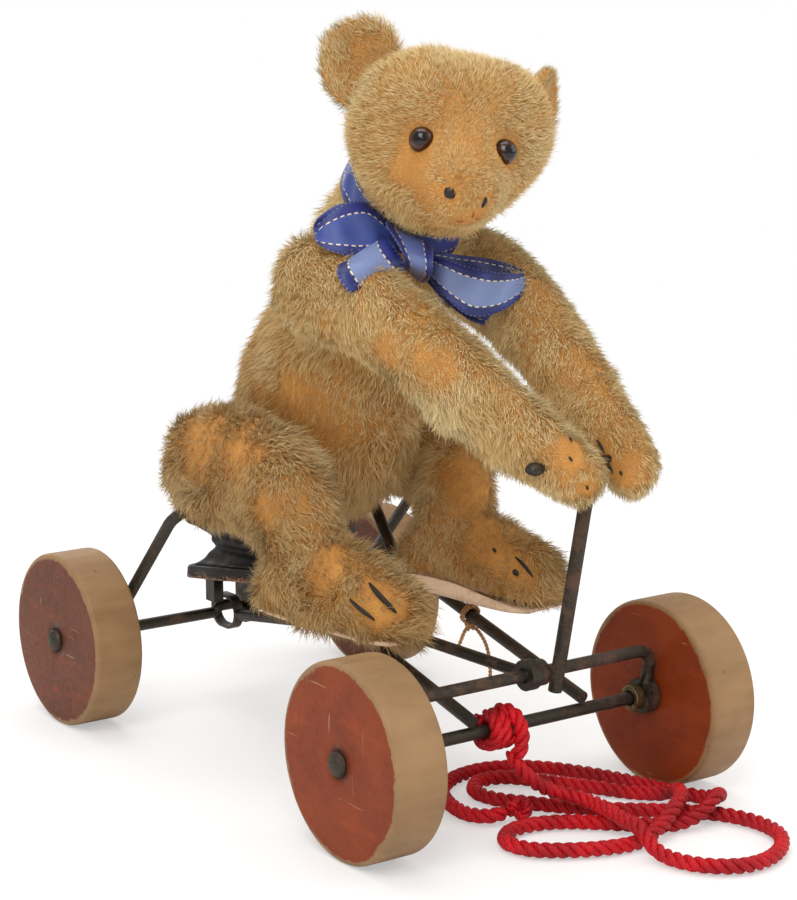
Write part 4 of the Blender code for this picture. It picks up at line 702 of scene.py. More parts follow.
def old_iron(name="old iron rod", rusty=0.5):
    """Blackened iron with brown rust and worn bright ridges."""
    f = Finish(name)
    cloud, fine, pits = f.noise(120, 5, 0.65), f.noise(1100, 4, 0.7, 3.0), f.noise(2600, 2, 0.5, 5.0)
    rust = (cloud + fine * 0.35).between(0.76 - rusty * 0.2, 0.94 - rusty * 0.2)
    colour = f.over(hue("iron"), (fine.between(0.3, 0.7), hue("iron", 1.7)), (rust * 0.85, hue("rust")),
                    (pits.between(0.62, 0.75) * 0.6, hue("iron", 0.45)))
    return f.close(colour=colour, metal=rust.between(0, 1, 0.75, 0.1),
                   roughness=(rust + fine * 0.3).between(0, 1, 0.42, 0.8),
                   normal=f.relief(fine * 0.6 + pits * 0.6 + rust * 0.4, 0.0003, 0.55))


def aged_brass():
    f = Finish("aged brass collar")
    cloud, fine = f.noise(420, 4, 0.6), f.noise(1800, 3, 0.6)
    return f.close(colour=f.mix(cloud.between(0.35, 0.7), hue("brass"), hue("iron", 1.1)), metal=0.85,
                   roughness=fine.between(0.3, 0.7, 0.3, 0.6), normal=f.relief(fine, 0.0002, 0.4))


def leatherette(torn):
    """Black coated cloth over wood. Along the lower board's underside it has torn through to pale paper."""
    f = Finish("torn black leatherette" if torn else "black leatherette")
    cells = f.make("ShaderNodeTexVoronoi", {"feature": "F1"}, {"Vector": f.place, "Scale": 1500.0})
    creases, fine = f.noise(160, 4, 0.6), f.noise(1300, 4, 0.6)
    colour = f.over(hue("leather"), (creases.between(0.45, 0.75), hue("leather", 2.6)),
                    (fine.between(0.62, 0.74) * 0.6, hue("dirt")))
    if torn:
        _, y, z = f.axes()
        above = z - LOWER_BOARD_Z * MM - (BOARD_REAR * MM + FORWARD[1] - y) * tan(BOARD_TILT)
        ragged = f.grain((330, 330, 700), 5, 0.75)
        tear = (above - ragged.between(0.35, 0.75, 0.0, 0.0034)).between(-0.0002, 0.0003, 1.0, 0.0)
        paper = f.mix(fine.between(0.35, 0.65), hue("paper"), hue("paint", 0.8))
        colour = f.mix(tear * 0.85, colour, paper)
    height = cells * 0.7 + creases * 0.8 + fine * 0.3
    return f.close(colour=colour, roughness=creases.between(0.3, 0.7, 0.45, 0.68), shine=0.28,
                   normal=f.relief(height, 0.0004, 0.5))


def felt_cloth():
    f = Finish("felt sole")
    fibres, soil = f.noise(1400, 5, 0.7), f.noise(90, 4, 0.6)
    colour = f.over(hue("felt"), (soil.between(0.4, 0.7), hue("felt", 0.62)),
                    (fibres.between(0.4, 0.7) * 0.5, hue("felt", 1.3)))
    return f.close(colour=colour, roughness=0.95, shine=0.15, fuzz=0.25, fuzz_roughness=0.6,
                   normal=f.relief(fibres, 0.0005, 0.8))


def card():
    f = Finish("grey card")
    fibres = f.noise(1200, 4, 0.7)
    return f.close(colour=f.mix(fibres, hue("paper", 0.6), hue("paper", 0.8)), roughness=0.9,
                   normal=f.relief(fibres, 0.0002, 0.5))


def glass_eye():
    """Dark brown glass with a black pupil, on a glossy domed face."""
    f = Finish("brown glass eye")
    off, swirl = f.attribute("off_axis"), f.noise(1600, 3, 0.6)
    iris = f.mix(swirl.between(0.3, 0.7), hue("glass"), hue("glass", 0.35))
    colour = f.over((0.002, 0.0015, 0.001), (off.between(0.16, 0.20), iris),
                    (off.between(0.30, 0.42), (0.004, 0.002, 0.001)))
    return f.close(colour=colour, roughness=0.05, shine=0.5)


def satin_ribbon():
    """Blue satin with a pale middle, deep borders, a picot edge and gold thread beside each border."""
    f = Finish("blue satin ribbon")
    across, along = f.weave()
    edge = (across - 0.5).absolute() * 2
    weave = (along * 9.0).sine() * (across * 170.0).sine()
    sheen, pale = f.noise(130, 2, 0.5), f.attribute("pale")
    middle = f.over(hue("ribbon_mid"), (sheen.between(0.35, 0.65), hue("ribbon_mid", 1.25)),
                    (pale, hue("ribbon_pale")),
                    # painted shade: below 0 the middle darkens towards the deep blue
                    (pale.between(-1.0, 0.0, 1.0, 0.0) * 0.85, hue("ribbon_deep", 1.2)))
    border = f.mix(sheen.between(0.35, 0.7), hue("ribbon_deep"), hue("ribbon_deep", 1.9))
    dash = (along * 2.6).sine().between(-0.35, -0.1)
    gold = edge.between(0.545, 0.56) * edge.between(0.60, 0.615, 1.0, 0.0) * dash
    picot = edge.between(0.93, 0.97) * (along * 4.2).sine().between(0.1, 0.5)
    colour = f.over(middle, (edge.between(0.53, 0.60), border), (picot * 0.75, hue("ribbon_pale", 0.85)),
                    (gold, hue("gold")))
    return f.close(colour=colour, metal=gold * 0.35, roughness=(1 - gold).between(0, 1, 0.3, 0.36), shine=0.6,
                   normal=f.relief(weave * 0.4 + gold + sheen, 0.00015, 0.5))


def yarn(name, light, dark, fineness):
    """Twisted yarn, seen as fine slanting threads with stray fibres."""
    f = Finish(name)
    around, along = f.weave()
    threads = (along * fineness - around * (8 * pi)).sine()
    fibre, cloud = f.noise(1500, 4, 0.7), f.noise(80, 3, 0.5)
    # the dark colour is painted shade: soft patches of it, and a deeper copy in the grooves between the
    # threads
    colour = f.over(light, (cloud.between(0.3, 0.7), dark),
                    (threads.between(-1.0, -0.2, 0.35, 0.0), tint(dark, 0.6)),
                    (fibre.between(0.55, 0.8) * 0.2, tint(light, 1.3)))
    return f.close(colour=colour, roughness=0.55, shine=0.3,
                   normal=f.relief(threads * 0.5 + fibre, 0.00018, 0.6))


def thread(name, colour):
    f = Finish(name)
    strands = f.noise(2400, 3, 0.7)
    shade = f.mix(strands.between(0.4, 0.65), colour, tint(colour, 3.0))
    return f.close(colour=shade, roughness=0.55, shine=0.4, normal=f.relief(strands, 0.0003, 0.8))


def stuffed(name, shape_data, clamp):
    """Add soft lumps to a sewn form, then flatten it where it meets its joint."""
    pts, out = points_of(shape_data), normals_of(shape_data)
    lumps = cloudy(pts, 17, 3.1) * 0.5 + cloudy(pts, 6, 8.3) * 0.22 + 0.5
    pts = pts - out * (lumps * sizes().lumps + SKINS[name][4] * MM)[:, None]
    set_points(shape_data, clamp(pts))
    shape_data.shade_smooth()
    return shape_data


def limb_rings(sections, steps, sides):
    """Rings of a limb through centres with half widths and thicknesses, with rounded ends."""
    s = np.asarray(sections, float)
    for end, inner in ((0, 1), (-1, -2)):
        way = unit(s[end, :3] - s[inner, :3])
        extra = np.array([(*(s[end, :3] + way * s[end, 4] * reach), s[end, 3] * k, s[end, 4] * k)
                          for reach, k in ((0.45, 0.89), (0.78, 0.62), (0.95, 0.30), (0.985, 0.12))])
        s = np.vstack((extra[::-1], s)) if end == 0 else np.vstack((s, extra))
    run = through(s, steps)
    ways = np.gradient(run[:, :3], axis=0)
    across = unit(np.stack((np.zeros(len(ways)), -ways[:, 2], ways[:, 1]), 1))
    a = angles(sides)
    return (run[:, None, :3] + run[:, None, 3:4] * np.cos(a)[None, :, None] * np.array((1, 0, 0))
            + run[:, None, 4:5] * np.sin(a)[None, :, None] * across[:, None])


def neck_axis():
    return np.array((0, -sin(NECK_LEAN), cos(NECK_LEAN)))


def above_neck(pts):
    """How far points in metres lie above the plane of the neck joint."""
    return ((pts - (NECK * MM + FORWARD)) @ neck_axis())[:, None]


def keep_below_neck(pts):
    """Flatten the top of the body against the neck joint."""
    return pts - np.maximum(above_neck(pts) + NECK_GAP, 0) * neck_axis()


def keep_above_neck(pts):
    return pts - np.minimum(above_neck(pts), 0) * neck_axis()


def flat_near(pts, sign, centre, reach, face):
    """Flatten the inner side of a limb round its joint."""
    out = pts.copy()
    near = np.hypot(pts[:, 1] - centre[0], pts[:, 2] - centre[1]) < reach
    out[near, 0] = sign * np.maximum(sign * pts[near, 0], face)
    return out


def make_torso():
    a = angles(64)
    rings = [middle + np.stack((half * np.cos(a), deep * np.sin(a), 0 * a), 1)
             for *middle, half, deep in through(TORSO, 7)]
    return stuffed("torso_plush", Shape().loft(rings).mesh("torso_plush"), keep_below_neck)


def make_arm(side):
    name, sign = f"{side}_arm_plush", SIDES[side]
    share = ((np.array(ARM)[:, 0] - ARM[0][0]) / (ARM[-1][0] - ARM[0][0])) ** 1.25
    x = sign * SHOULDER[0] + (PAW_X[side] - sign * SHOULDER[0]) * share
    face = (SHOULDER[0] - ARM[0][2]) * MM
    centre = (SHOULDER[1] * MM + FORWARD[1], SHOULDER[2] * MM)
    data = Shape().loft(limb_rings(np.column_stack((x, ARM)), 7, 48)).mesh(name)
    return stuffed(name, data, lambda pts: flat_near(pts, sign, centre, SHOULDER_REACH, face))


def foot_axes(side):
    """The heel's place, the way to the toe's place and the way across."""
    heel, toe = (np.array(p, float) for p in FOOT_LINE[side])
    way = unit(toe - heel)
    return heel, toe - heel, np.array((way[1], -way[0], 0))


def foot_rings(side):
    heel, sole, across = foot_axes(side)
    sections = [FOOT[0] * np.array((1, 0.5, 0.55)) - (0.02, 0, 0), *FOOT,
                FOOT[-1] * np.array((1, 0.5, 0.6)) + (0.02, 0, 0)]
    a = angles(48)
    rings = []
    for share, half, height in through(sections, 5):
        rise = np.maximum(height * 0.38 + np.sin(a) * height * 0.62, 0)
        middle = heel + sole * share + (0, 0, SOLE_THICK + SOLE_GAP)
        rings.append(middle + across * (half * np.cos(a))[:, None] + np.outer(rise, (0, 0, 1)))
    return rings


def make_leg(side):
    """Thigh, shin and foot, grown together into one sewn form."""
    name, sign = f"{side}_leg_plush", SIDES[side]
    rings = limb_rings(np.column_stack((LEG_X[side], LEG)), 5, 40)
    thing = add(name, Shape().loft(rings).loft(foot_rings(side)))
    grown = thing.modifiers.new("grow", "REMESH")
    grown.mode, grown.voxel_size = "VOXEL", LEG_VOXEL
    soft = thing.modifiers.new("soft", "SMOOTH")
    soft.factor, soft.iterations = 0.5, 9
    data = settle(thing)
    bpy.data.objects.remove(thing)
    floor = (FOOT_LINE[side][0][2] + SOLE_THICK + SOLE_GAP) * MM

    def clamp(pts):
        out = flat_near(pts, sign, HIP, HIP_REACH, HIP_FACE)
        out[:, 2] = np.maximum(out[:, 2], floor)
        return out
    return stuffed(name, data, clamp)


def head_turn():
    z, x, y = (Matrix.Rotation(radians(turn), 3, axis) for turn, axis in zip(HEAD_TURN, "ZXY"))
    return np.array(z @ x @ y)


def head_place(points):
    """Points in the head's own frame, in the cart's frame."""
    return HEAD + np.asarray(points, float) @ head_turn().T


def head_local(pts):
    """Points of the cart's frame in metres, in the head's own frame."""
    return (pts - FORWARD - HEAD * MM) @ head_turn() / MM


def eye_way(sign):
    return unit((sign * EYE_WAY[0], *EYE_WAY[1:]))


def degrees_off(ways, way):
    return np.degrees(np.arccos(np.clip(ways @ np.array(way), -1, 1)))


def head_reach(ways):
    """How far the head's surface lies from its centre: a broad flat-topped skull with a short muzzle."""
    power = 2 + 0.75 * np.minimum(1.0, np.maximum(0.0, ways[..., 2]) * 1.6)
    skull = (np.abs(ways / HEAD_HALF) ** power[..., None]).sum(-1) ** (-1 / power)
    low = radians(25)
    # the muzzle, the eyes' hollows and the flatter cheeks
    bumps = ((17.8, (0, -cos(low), -sin(low)), 25), (-0.9, eye_way(-1), 9), (-0.9, eye_way(1), 9),
             (-5.8, (0.8, 0, -0.6), 30), (-1.4, (-0.8, 0, -0.6), 30))
    return skull + sum(high * np.exp(-(degrees_off(ways, way) / wide) ** 2) for high, way, wide in bumps)


def make_head():
    up = np.linspace(-pi / 2 + 0.03, pi / 2 - 0.03, 72)[:, None]
    a = angles(104)
    ways = np.stack((np.cos(up) * np.cos(a), np.cos(up) * np.sin(a), np.sin(up) + 0 * a), -1)
    rings = head_place(ways * head_reach(ways)[..., None])
    return stuffed("head_plush", Shape().loft(rings).mesh("head_plush"), keep_above_neck)


def make_ear(side):
    """A round ear, hollowed in front, with a soft rolled rim."""
    middle, turn = EARS[side]
    spin = np.array(Matrix.Rotation(turn, 3, "Z"))
    a = angles(48)
    rings = []
    shares = np.sin(np.linspace(0.06, pi / 2, 12))
    for face in (1, -1):
        for share in (shares if face == 1 else shares[::-1][1:]):
            bulge = EAR_BULGE * sqrt(max(0.0, 1 - share ** 4))
            y = bulge if face == 1 else -bulge + EAR_HOLLOW * (1 - share ** 2)
            local = np.stack((EAR_HALF_WIDTH * share * np.cos(a), y + 0 * a,
                              EAR_HALF_HEIGHT * share * np.sin(a)), 1)
            rings.append(head_place(np.array(middle) + local @ spin.T))
    return Shape().loft(rings).mesh(f"{side}_ear_plush")


SKINS = {  # skin: body, its solid, pile length, how thick the pile stands and how far the cloth lies inside
    "torso_plush": ("torso", "torso", 5.4, 0.97, 0.3),
    "right_arm_plush": ("right_arm", "right_arm", 4.2, 2.1, 0.4),
    "left_arm_plush": ("left_arm", "left_arm", 3.8, 2.1, 0.6),
    "right_leg_plush": ("cart", "right_leg", 5.2, 1.4, 0.5),
    "left_leg_plush": ("cart", "left_leg", 4.4, 1.35, 0.7),
    "head_plush": ("head", "head", 4.0, 1.82, 0.0),
    "right_ear_plush": ("head", "right_ear", 3.8, 2.4, 0.0),
    "left_ear_plush": ("head", "left_ear", 2.8, 2.4, 0.0),
}


def worn_at(pts):
    """How bare the pile is at points in metres."""
    ragged = cloudy(pts, 5, 1.7) * 0.35 + cloudy(pts, 1.9, 5.5) * 0.25
    worn = np.zeros(len(pts))
    for *place, radius, amount in BALD:
        near = 1.25 - away_from(pts, place) / radius + ragged
        worn = np.maximum(worn, amount * np.clip(near / 0.6, 0, 1))
    thin = np.clip((cloudy(pts, 13, 4.4) * 0.6 + cloudy(pts, 4, 2.2) * 0.4 - 0.12) * 2.2, 0, 1)
    return np.clip(np.maximum(worn, thin * 0.5), 0, 1)


def combed(name, pts, out):
    """Which way the pile leans on each form."""
    down = np.array((0, 0, -1.0))
    if name == "torso_plush":
        lean = down + np.array((0, 0.25, 0))
    elif "arm" in name:
        lean = unit((0, -93, -48)) * 0.7 + down * 0.5
    elif "leg" in name:
        lean = unit((0, -0.6, -0.02)) * 0.6 + down * 0.4
    elif "ear" in name:
        lean = np.array((0, 0.2, 0.8))
    else:
        nose = head_turn() @ np.array((0, -1, -0.3))
        lean = unit(pts - HEAD * MM - FORWARD - nose * 0.05) * 0.6 + down * 0.35 - nose * 0.6
    lean = lean + np.stack([cloudy(pts, 14, s) for s in (1.1, 5.1, 9.1)], 1) * 1.1
    return lean - out * (lean * out).sum(1, keepdims=True)


def room_around(name, pts, out):
    """Less pile where another part is close, so that hairs don't pass through it."""
    own = {SKINS[name][1], SKINS[name][1].replace("_leg", "_sole"), "handlebar", "ribbon_bow"}
    if name in ("head_plush", "right_ear_plush", "left_ear_plush"):
        own |= {"head", "right_ear", "left_ear"}
    faces, verts = [], []
    for node, thing in frame["nodes"].items():
        if node in own or node.endswith(("_pin_right", "_pin_left", "neck_pin")):
            continue
        thing.data.calc_loop_triangles()
        base = len(verts)
        verts += [v.co[:] for v in thing.data.vertices]
        faces += [tuple(base + i for i in t.vertices) for t in thing.data.loop_triangles]
    tree = BVHTree.FromPolygons(verts, faces)
    free = []
    for p, n in zip(pts, out):
        hit = tree.ray_cast(Vector(p) + Vector(n) * 0.0002, Vector(n), 0.012)
        near = tree.find_nearest(Vector(p), 0.006)
        reach = hit[3] if hit[0] else 0.012
        close = near[3] if near[0] else 0.006
        free.append(min(reach / 0.008, 0.35 + close / 0.006))
    return np.clip(free, 0.0, 1.0)


def dress_for_pile(thing):
    """Store on a skin how long and thick the pile grows, which way it leans and how worn it is."""
    name, data = thing.name, thing.data
    pts, out = points_of(data), normals_of(data)
    worn = worn_at(pts)
    room = room_around(name, pts, out)
    share = (1 - 0.72 * worn) * np.clip(room * 4 - 0.35, 0, 1)
    length = (1 - 0.6 * worn) * (0.72 + 0.28 * room) * (1 + 0.35 * cloudy(pts, 11, 6.6))
    fringe = np.max([np.clip(1.3 - away_from(pts, place) / radius, 0, 1) for *place, radius in FRINGES], 0)
    length *= 1 + 0.7 * fringe
    local = head_local(pts)
    if name == "head_plush":
        for sign in (-1, 1):
            away = np.linalg.norm(local - eye_way(sign) * EYE_LOW, axis=1)
            share *= np.clip((away - 3.5) / 2.5, 0, 1)
            length *= np.clip((away - 1.5) / 7, 0.25, 1)
        face = np.clip((-local[:, 1] - 12) / 18, 0, 1)
        length *= 1 - 0.5 * face
        share *= 1 + 1.1 * face
        for line in SEAMS:
            for place in evenly(through(line, 8), 60):
                length *= np.clip((away_from(pts, place) + 1.2) / 2.0, 0.9, 1)
    if "ear" in name:
        middle, turn = EARS["right" if "right" in name else "left"]
        local = (local - middle) @ np.array(Matrix.Rotation(turn, 3, "Z"))
        hollow = np.hypot((local[:, 0] - 3.6) / 7.2, (local[:, 2] + 0.5) / 10.5)
        inner = (local[:, 1] < 1.8) & (hollow < 1)
        share[inner] *= 1.5
        length[inner] *= 0.5
        worn *= 0.3
        worn[inner] = np.maximum(worn[inner], 0.35)
    felt = np.zeros(len(pts))
    if name == "left_leg_plush":
        heel, sole, across = foot_axes("left")
        local = (pts - FORWARD) / MM - heel
        inner = local @ across > 1
        along = local @ sole / (sole @ sole)
        turned_up = SOLE_TURN_UP * np.clip(np.sin(np.clip(along * 0.92 + 0.1, 0, 1) * pi), 0, 1)
        below = turned_up - (local[:, 2] - SOLE_THICK)
        felt = np.clip(below / 0.8, 0, 1) * inner
        length *= 1 - 0.45 * np.clip((below + 4) / 4, 0, 1) * inner
    share *= 1 - felt
    mark(data, "felt", felt)
    for place in [place for claws in CLAWS.values() for claw in claws for place in claw[:3]]:
        away = away_from(pts, place)
        share *= np.clip((away - 1.4) / 1.6, 0.02, 1)
        length *= np.clip((away - 0.5) / 4, 0.3, 1)
    for place in [place for nostril in NOSTRILS for place in nostril[:3]]:
        share *= np.clip((away_from(pts, place) - 1.5) / 2, 0, 1)
    mark(data, "pile_share", share)
    mark(data, "pile_length", np.clip(length, 0.15, 1.6))
    mark(data, "worn", worn)
    mark(data, "comb", combed(name, pts, out) * 0.9, "FLOAT_VECTOR")


TUFT_PATTERNS = 7


def make_tufts():
    """A few small tufts of bent hairs, as the patterns of the pile."""
    patterns = bpy.data.collections.new("tuft patterns")
    rng = np.random.default_rng(11)
    for k in range(TUFT_PATTERNS):
        pts, faces, rise = [], [], []
        for _ in range(5):
            foot = rng.uniform(-0.16, 0.16, 3) * (1, 1, 0)
            turn = rng.uniform(0, 2 * pi)
            lean = rng.normal(0, 0.16, 2)
            bend = rng.uniform(0.12, 0.42)
            tall = rng.uniform(0.7, 1.12)
            wide = rng.uniform(0.017, 0.026)
            side = np.array((cos(turn), sin(turn), 0)) * wide
            mid = foot + (lean[0] * 0.5 + bend * 0.3, lean[1] * 0.5, 0.55 * tall)
            tip = foot + (lean[0] + bend, lean[1], 0.98 * tall)
            foot[2] = -0.05
            base = len(pts)
            pts += [foot - side, foot + side, mid + side * 0.8, mid - side * 0.8, tip]
            faces += [(base, base + 1, base + 2, base + 3), (base + 3, base + 2, base + 4)]
            rise += [0, 0, 0.55, 0.55, 1]
        data = bpy.data.meshes.new(f"tuft_{k}")
        data.from_pydata([tuple(p) for p in pts], [], faces)
        mark(data, "rise", rise)
        data.shade_smooth()
        patterns.objects.link(bpy.data.objects.new(f"tuft_{k}", data))
    return patterns


def pile_nodes():
    """The node tree that grows tufts over a skin."""
    group = bpy.data.node_groups.new("Mohair pile", "GeometryNodeTree")
    face = group.interface
    face.new_socket("Pile", in_out="OUTPUT", socket_type="NodeSocketGeometry")
    inputs = {"Skin": "Geometry", "Tufts": "Collection", "Tufts per square metre": "Float",
              "Pile length": "Float", "Disorder": "Float", "Seed": "Int", "Pile finish": "Material"}
    for name, kind in inputs.items():
        face.new_socket(name, in_out="INPUT", socket_type=f"NodeSocket{kind}")
    g = Tree(group)
    given = group.nodes.new("NodeGroupInput")
    take = {s.name: Wire(g, s) for s in given.outputs if s.name}

    def named(name, kind="FLOAT"):
        return g.make("GeometryNodeInputNamedAttribute", {"data_type": kind}, {"Name": name})

    def stored(geometry, name, value, kind="FLOAT_VECTOR", domain="INSTANCE"):
        return g.make("GeometryNodeStoreNamedAttribute", {"data_type": kind, "domain": domain},
                      {"Geometry": geometry, "Name": name, "Value": value})

    def chance(kind, low, high, seed):
        """A random value. Each kind has its own places among the node's sockets."""
        first, out = {"FLOAT_VECTOR": (0, 0), "FLOAT": (2, 1), "INT": (4, 2)}[kind]
        return g.make("FunctionNodeRandomValue", {"data_type": kind},
                      {first: low, first + 1: high, "Seed": seed}, out)

    skin = stored(take["Skin"], "skin_out", g.make("GeometryNodeInputNormal"), domain="POINT")
    spread = g.make("GeometryNodeDistributePointsOnFaces", {"distribute_method": "RANDOM"},
                    {"Mesh": skin, "Density": take["Tufts per square metre"] * named("pile_share"),
                     "Seed": take["Seed"]})
    normal = Wire(g, spread.socket.node.outputs["Normal"])
    stray = g.vector("SCALE", chance("FLOAT_VECTOR", (-1, -1, -1), (1, 1, 1), 3), take["Disorder"])
    comb = g.vector("ADD", named("comb", "FLOAT_VECTOR"), stray)
    turn = g.make("FunctionNodeAxesToRotation", {"primary_axis": "Z", "secondary_axis": "X"},
                  {0: g.vector("ADD", normal, comb), 1: comb})
    size = take["Pile length"] * named("pile_length") * chance("FLOAT", 0.72, 1.22, 5)
    patterns = g.make("GeometryNodeCollectionInfo", None, {
        "Collection": take["Tufts"], "Separate Children": True, "Reset Children": True})
    grown = g.make("GeometryNodeInstanceOnPoints", None, {
        "Points": spread, "Instance": patterns, "Pick Instance": True,
        "Instance Index": chance("INT", 0, TUFT_PATTERNS - 1, 7), "Rotation": turn,
        "Scale": g.make("ShaderNodeCombineXYZ", None, {0: size, 1: size, 2: size})})
    hued = stored(grown, "hue", chance("FLOAT", 0.0, 1.0, 9), "FLOAT")
    real = g.make("GeometryNodeRealizeInstances", None, {
        "Geometry": stored(hued, "lie", named("skin_out", "FLOAT_VECTOR"))})
    made = g.make("GeometryNodeSetMaterial", None, {"Geometry": real, "Material": take["Pile finish"]})
    out = group.nodes.new("NodeGroupOutput")
    group.links.new(made.socket, out.inputs[0])
    return group


def grow_pile(skin, group, tufts, finish, seed, length, thickness):
    """Grow the pile of one skin and give it back as a plain mesh."""
    carrier = add("pile_carrier", skin.data.copy())
    grow = carrier.modifiers.new("pile", "NODES")
    grow.node_group = group
    wanted = {"Tufts": tufts, "Tufts per square metre": thickness * sizes().tufts_per_mm2 * 1e6,
              "Pile length": length * MM * sizes().pile_scale, "Disorder": sizes().disorder, "Seed": seed,
              "Pile finish": finish}
    for item in group.interface.items_tree:
        if item.in_out == "INPUT" and item.name in wanted:
            grow[item.identifier] = wanted[item.name]
    data = settle(carrier)
    bpy.data.objects.remove(carrier)
    forget(data, "pile_share", "pile_length", "comb", "skin_out", "felt")
    return data


def joined(name, meshes):
    """Several plain meshes as one, with their marks."""
    bm = bmesh.new()
    for data in meshes:
        bm.from_mesh(data)
    out = bpy.data.meshes.new(name)
    bm.to_mesh(out)
    bm.free()
    return out


def twisted(path, thick, pitch, strands, sides, shape=None, phase=0.0):
    """Strands laid round a path, as in a rope, added to a shape or to a new one."""
    shape = shape or Shape()
    u, v = frames_along(path)
    run = lengths(path)
    reach = 1 / sin(pi / strands)
    strand = thick / 2 / (1 + reach)
    for k in range(strands):
        a = (2 * pi * (run / pitch + k / strands) + phase)[:, None]
        line = path + strand * reach * (np.cos(a) * u + np.sin(a) * v)
        ends = np.clip(np.minimum(run, run[-1] - run) / (strand * 1.2), 0.25, 1)
        shape.tube(line, strand * 1.06 * np.sqrt(ends), sides)
    return shape


def laid_rope(points, *more, thick=ROPE_THICK):
    return twisted(points, thick, ROPE_PITCH, 3, 9, *more)


def laid_twine(points, *more):
    return twisted(points, TWINE_THICK, TWINE_PITCH, 2, 7, *more)


def rope_path():
    start = KNOT + (3, 0, 0) + unit(KNOT_WAY) * KNOT_REACH
    tip = END_KNOT - unit(END_KNOT - np.array(ROPE_ROUTE[-1])) * END_KNOT_REACH
    return through([start, *ROPE_ROUTE, tip], 10)


COLOUR_LIST = {  # name: what it is, display colour
    "pile_root": ("Pile at the root", (180, 132, 70)),
    "pile_golden": ("Golden pile", (210, 170, 104)),
    "pile_pale": ("Faded pile", (224, 202, 148)),
    "pile_tip": ("Tips of the pile", (236, 216, 170)),
    "worn_cloth": ("Worn backing cloth", (206, 148, 78)),
    # soiled backing cloth; a darkened copy of it is also the pile's painted shade low down and in front
    "soiled_cloth_and_pile_shade": ("Soiled backing cloth", (184, 128, 68)),
    "paint": ("Wheel paint", (140, 57, 15)),
    "paint_dark": ("Darkened wheel paint", (120, 45, 12)),
    "paint_grey": ("Greyed wheel paint", (100, 58, 38)),
    "bare_wood": ("Bare wood", (150, 118, 83)),
    "wood_grain": ("Wood grain", (134, 104, 72)),
    "dirt": ("Ingrained dirt", (104, 82, 58)),
    "iron": ("Iron", (54, 50, 43)),
    "rust": ("Rust", (86, 60, 44)),
    "brass": ("Brass", (128, 110, 70)),
    "leather": ("Black leatherette", (26, 23, 21)),
    "paper": ("Torn paper lining", (170, 130, 92)),
    "felt": ("Felt", (240, 204, 170)),
    "glass": ("Eye glass", (74, 34, 14)),
    "ribbon_deep": ("Ribbon border", (28, 38, 100)),
    "ribbon_mid": ("Ribbon middle", (46, 66, 140)),
    "ribbon_pale": ("Ribbon's faded middle", (124, 144, 192)),
    "gold": ("Gold thread", (240, 230, 196)),
    "rope_light": ("Pull rope", (208, 12, 28)),
    # the pull rope's painted shade, laid in patches and between its threads
    "rope_shade": ("Pull rope in its folds", (150, 6, 18)),
    "twine": ("Twine", (206, 158, 108)),
    "stitching": ("Claw and nose thread", (26, 19, 15)),
    "mouth_thread": ("Mouth thread", (120, 70, 36)),
    "paper_floor": ("Floor", (250, 250, 250)),
}
SIZE_LIST = {  # name: what it is, default, lowest, highest
    "tufts_per_mm2": ("Tufts of pile on a square millimetre", 0.6, 0.05, 1.5),
    "pile_scale": ("Pile length beside the usual", 1.0, 0.3, 2.0),
    "disorder": ("Disorder of the pile", 0.42, 0.0, 1.5),
}


class ToyColours(bpy.types.PropertyGroup):
    """Colours of the toy's finishes."""
    __annotations__ = {key: bpy.props.FloatVectorProperty(
        name=label, description=f"Colour of: {label.lower()}", subtype="COLOR", size=3, min=0, max=1,
        default=srgb(*value)) for key, (label, value) in COLOUR_LIST.items()}


class ToySizes(bpy.types.PropertyGroup):
    """Sizes that can be changed before the toy is built."""
    __annotations__ = {key: bpy.props.FloatProperty(
        name=label, description=label, default=value, min=low, max=high)
        for key, (label, value, low, high) in SIZE_LIST.items()}
    lumps: bpy.props.FloatProperty(name="Depth of the lumps", description="How deep the stuffing's lumps are",
                                   default=0.0011, min=0, max=0.005, unit="LENGTH", subtype="DISTANCE")


class Builder(bpy.types.Operator):
    """Shared ground of the operators. A failure in any of them stops the script."""
    bl_options = {"REGISTER", "UNDO"}

    def execute(self, context):
        self.build(context)
        return {"FINISHED"}


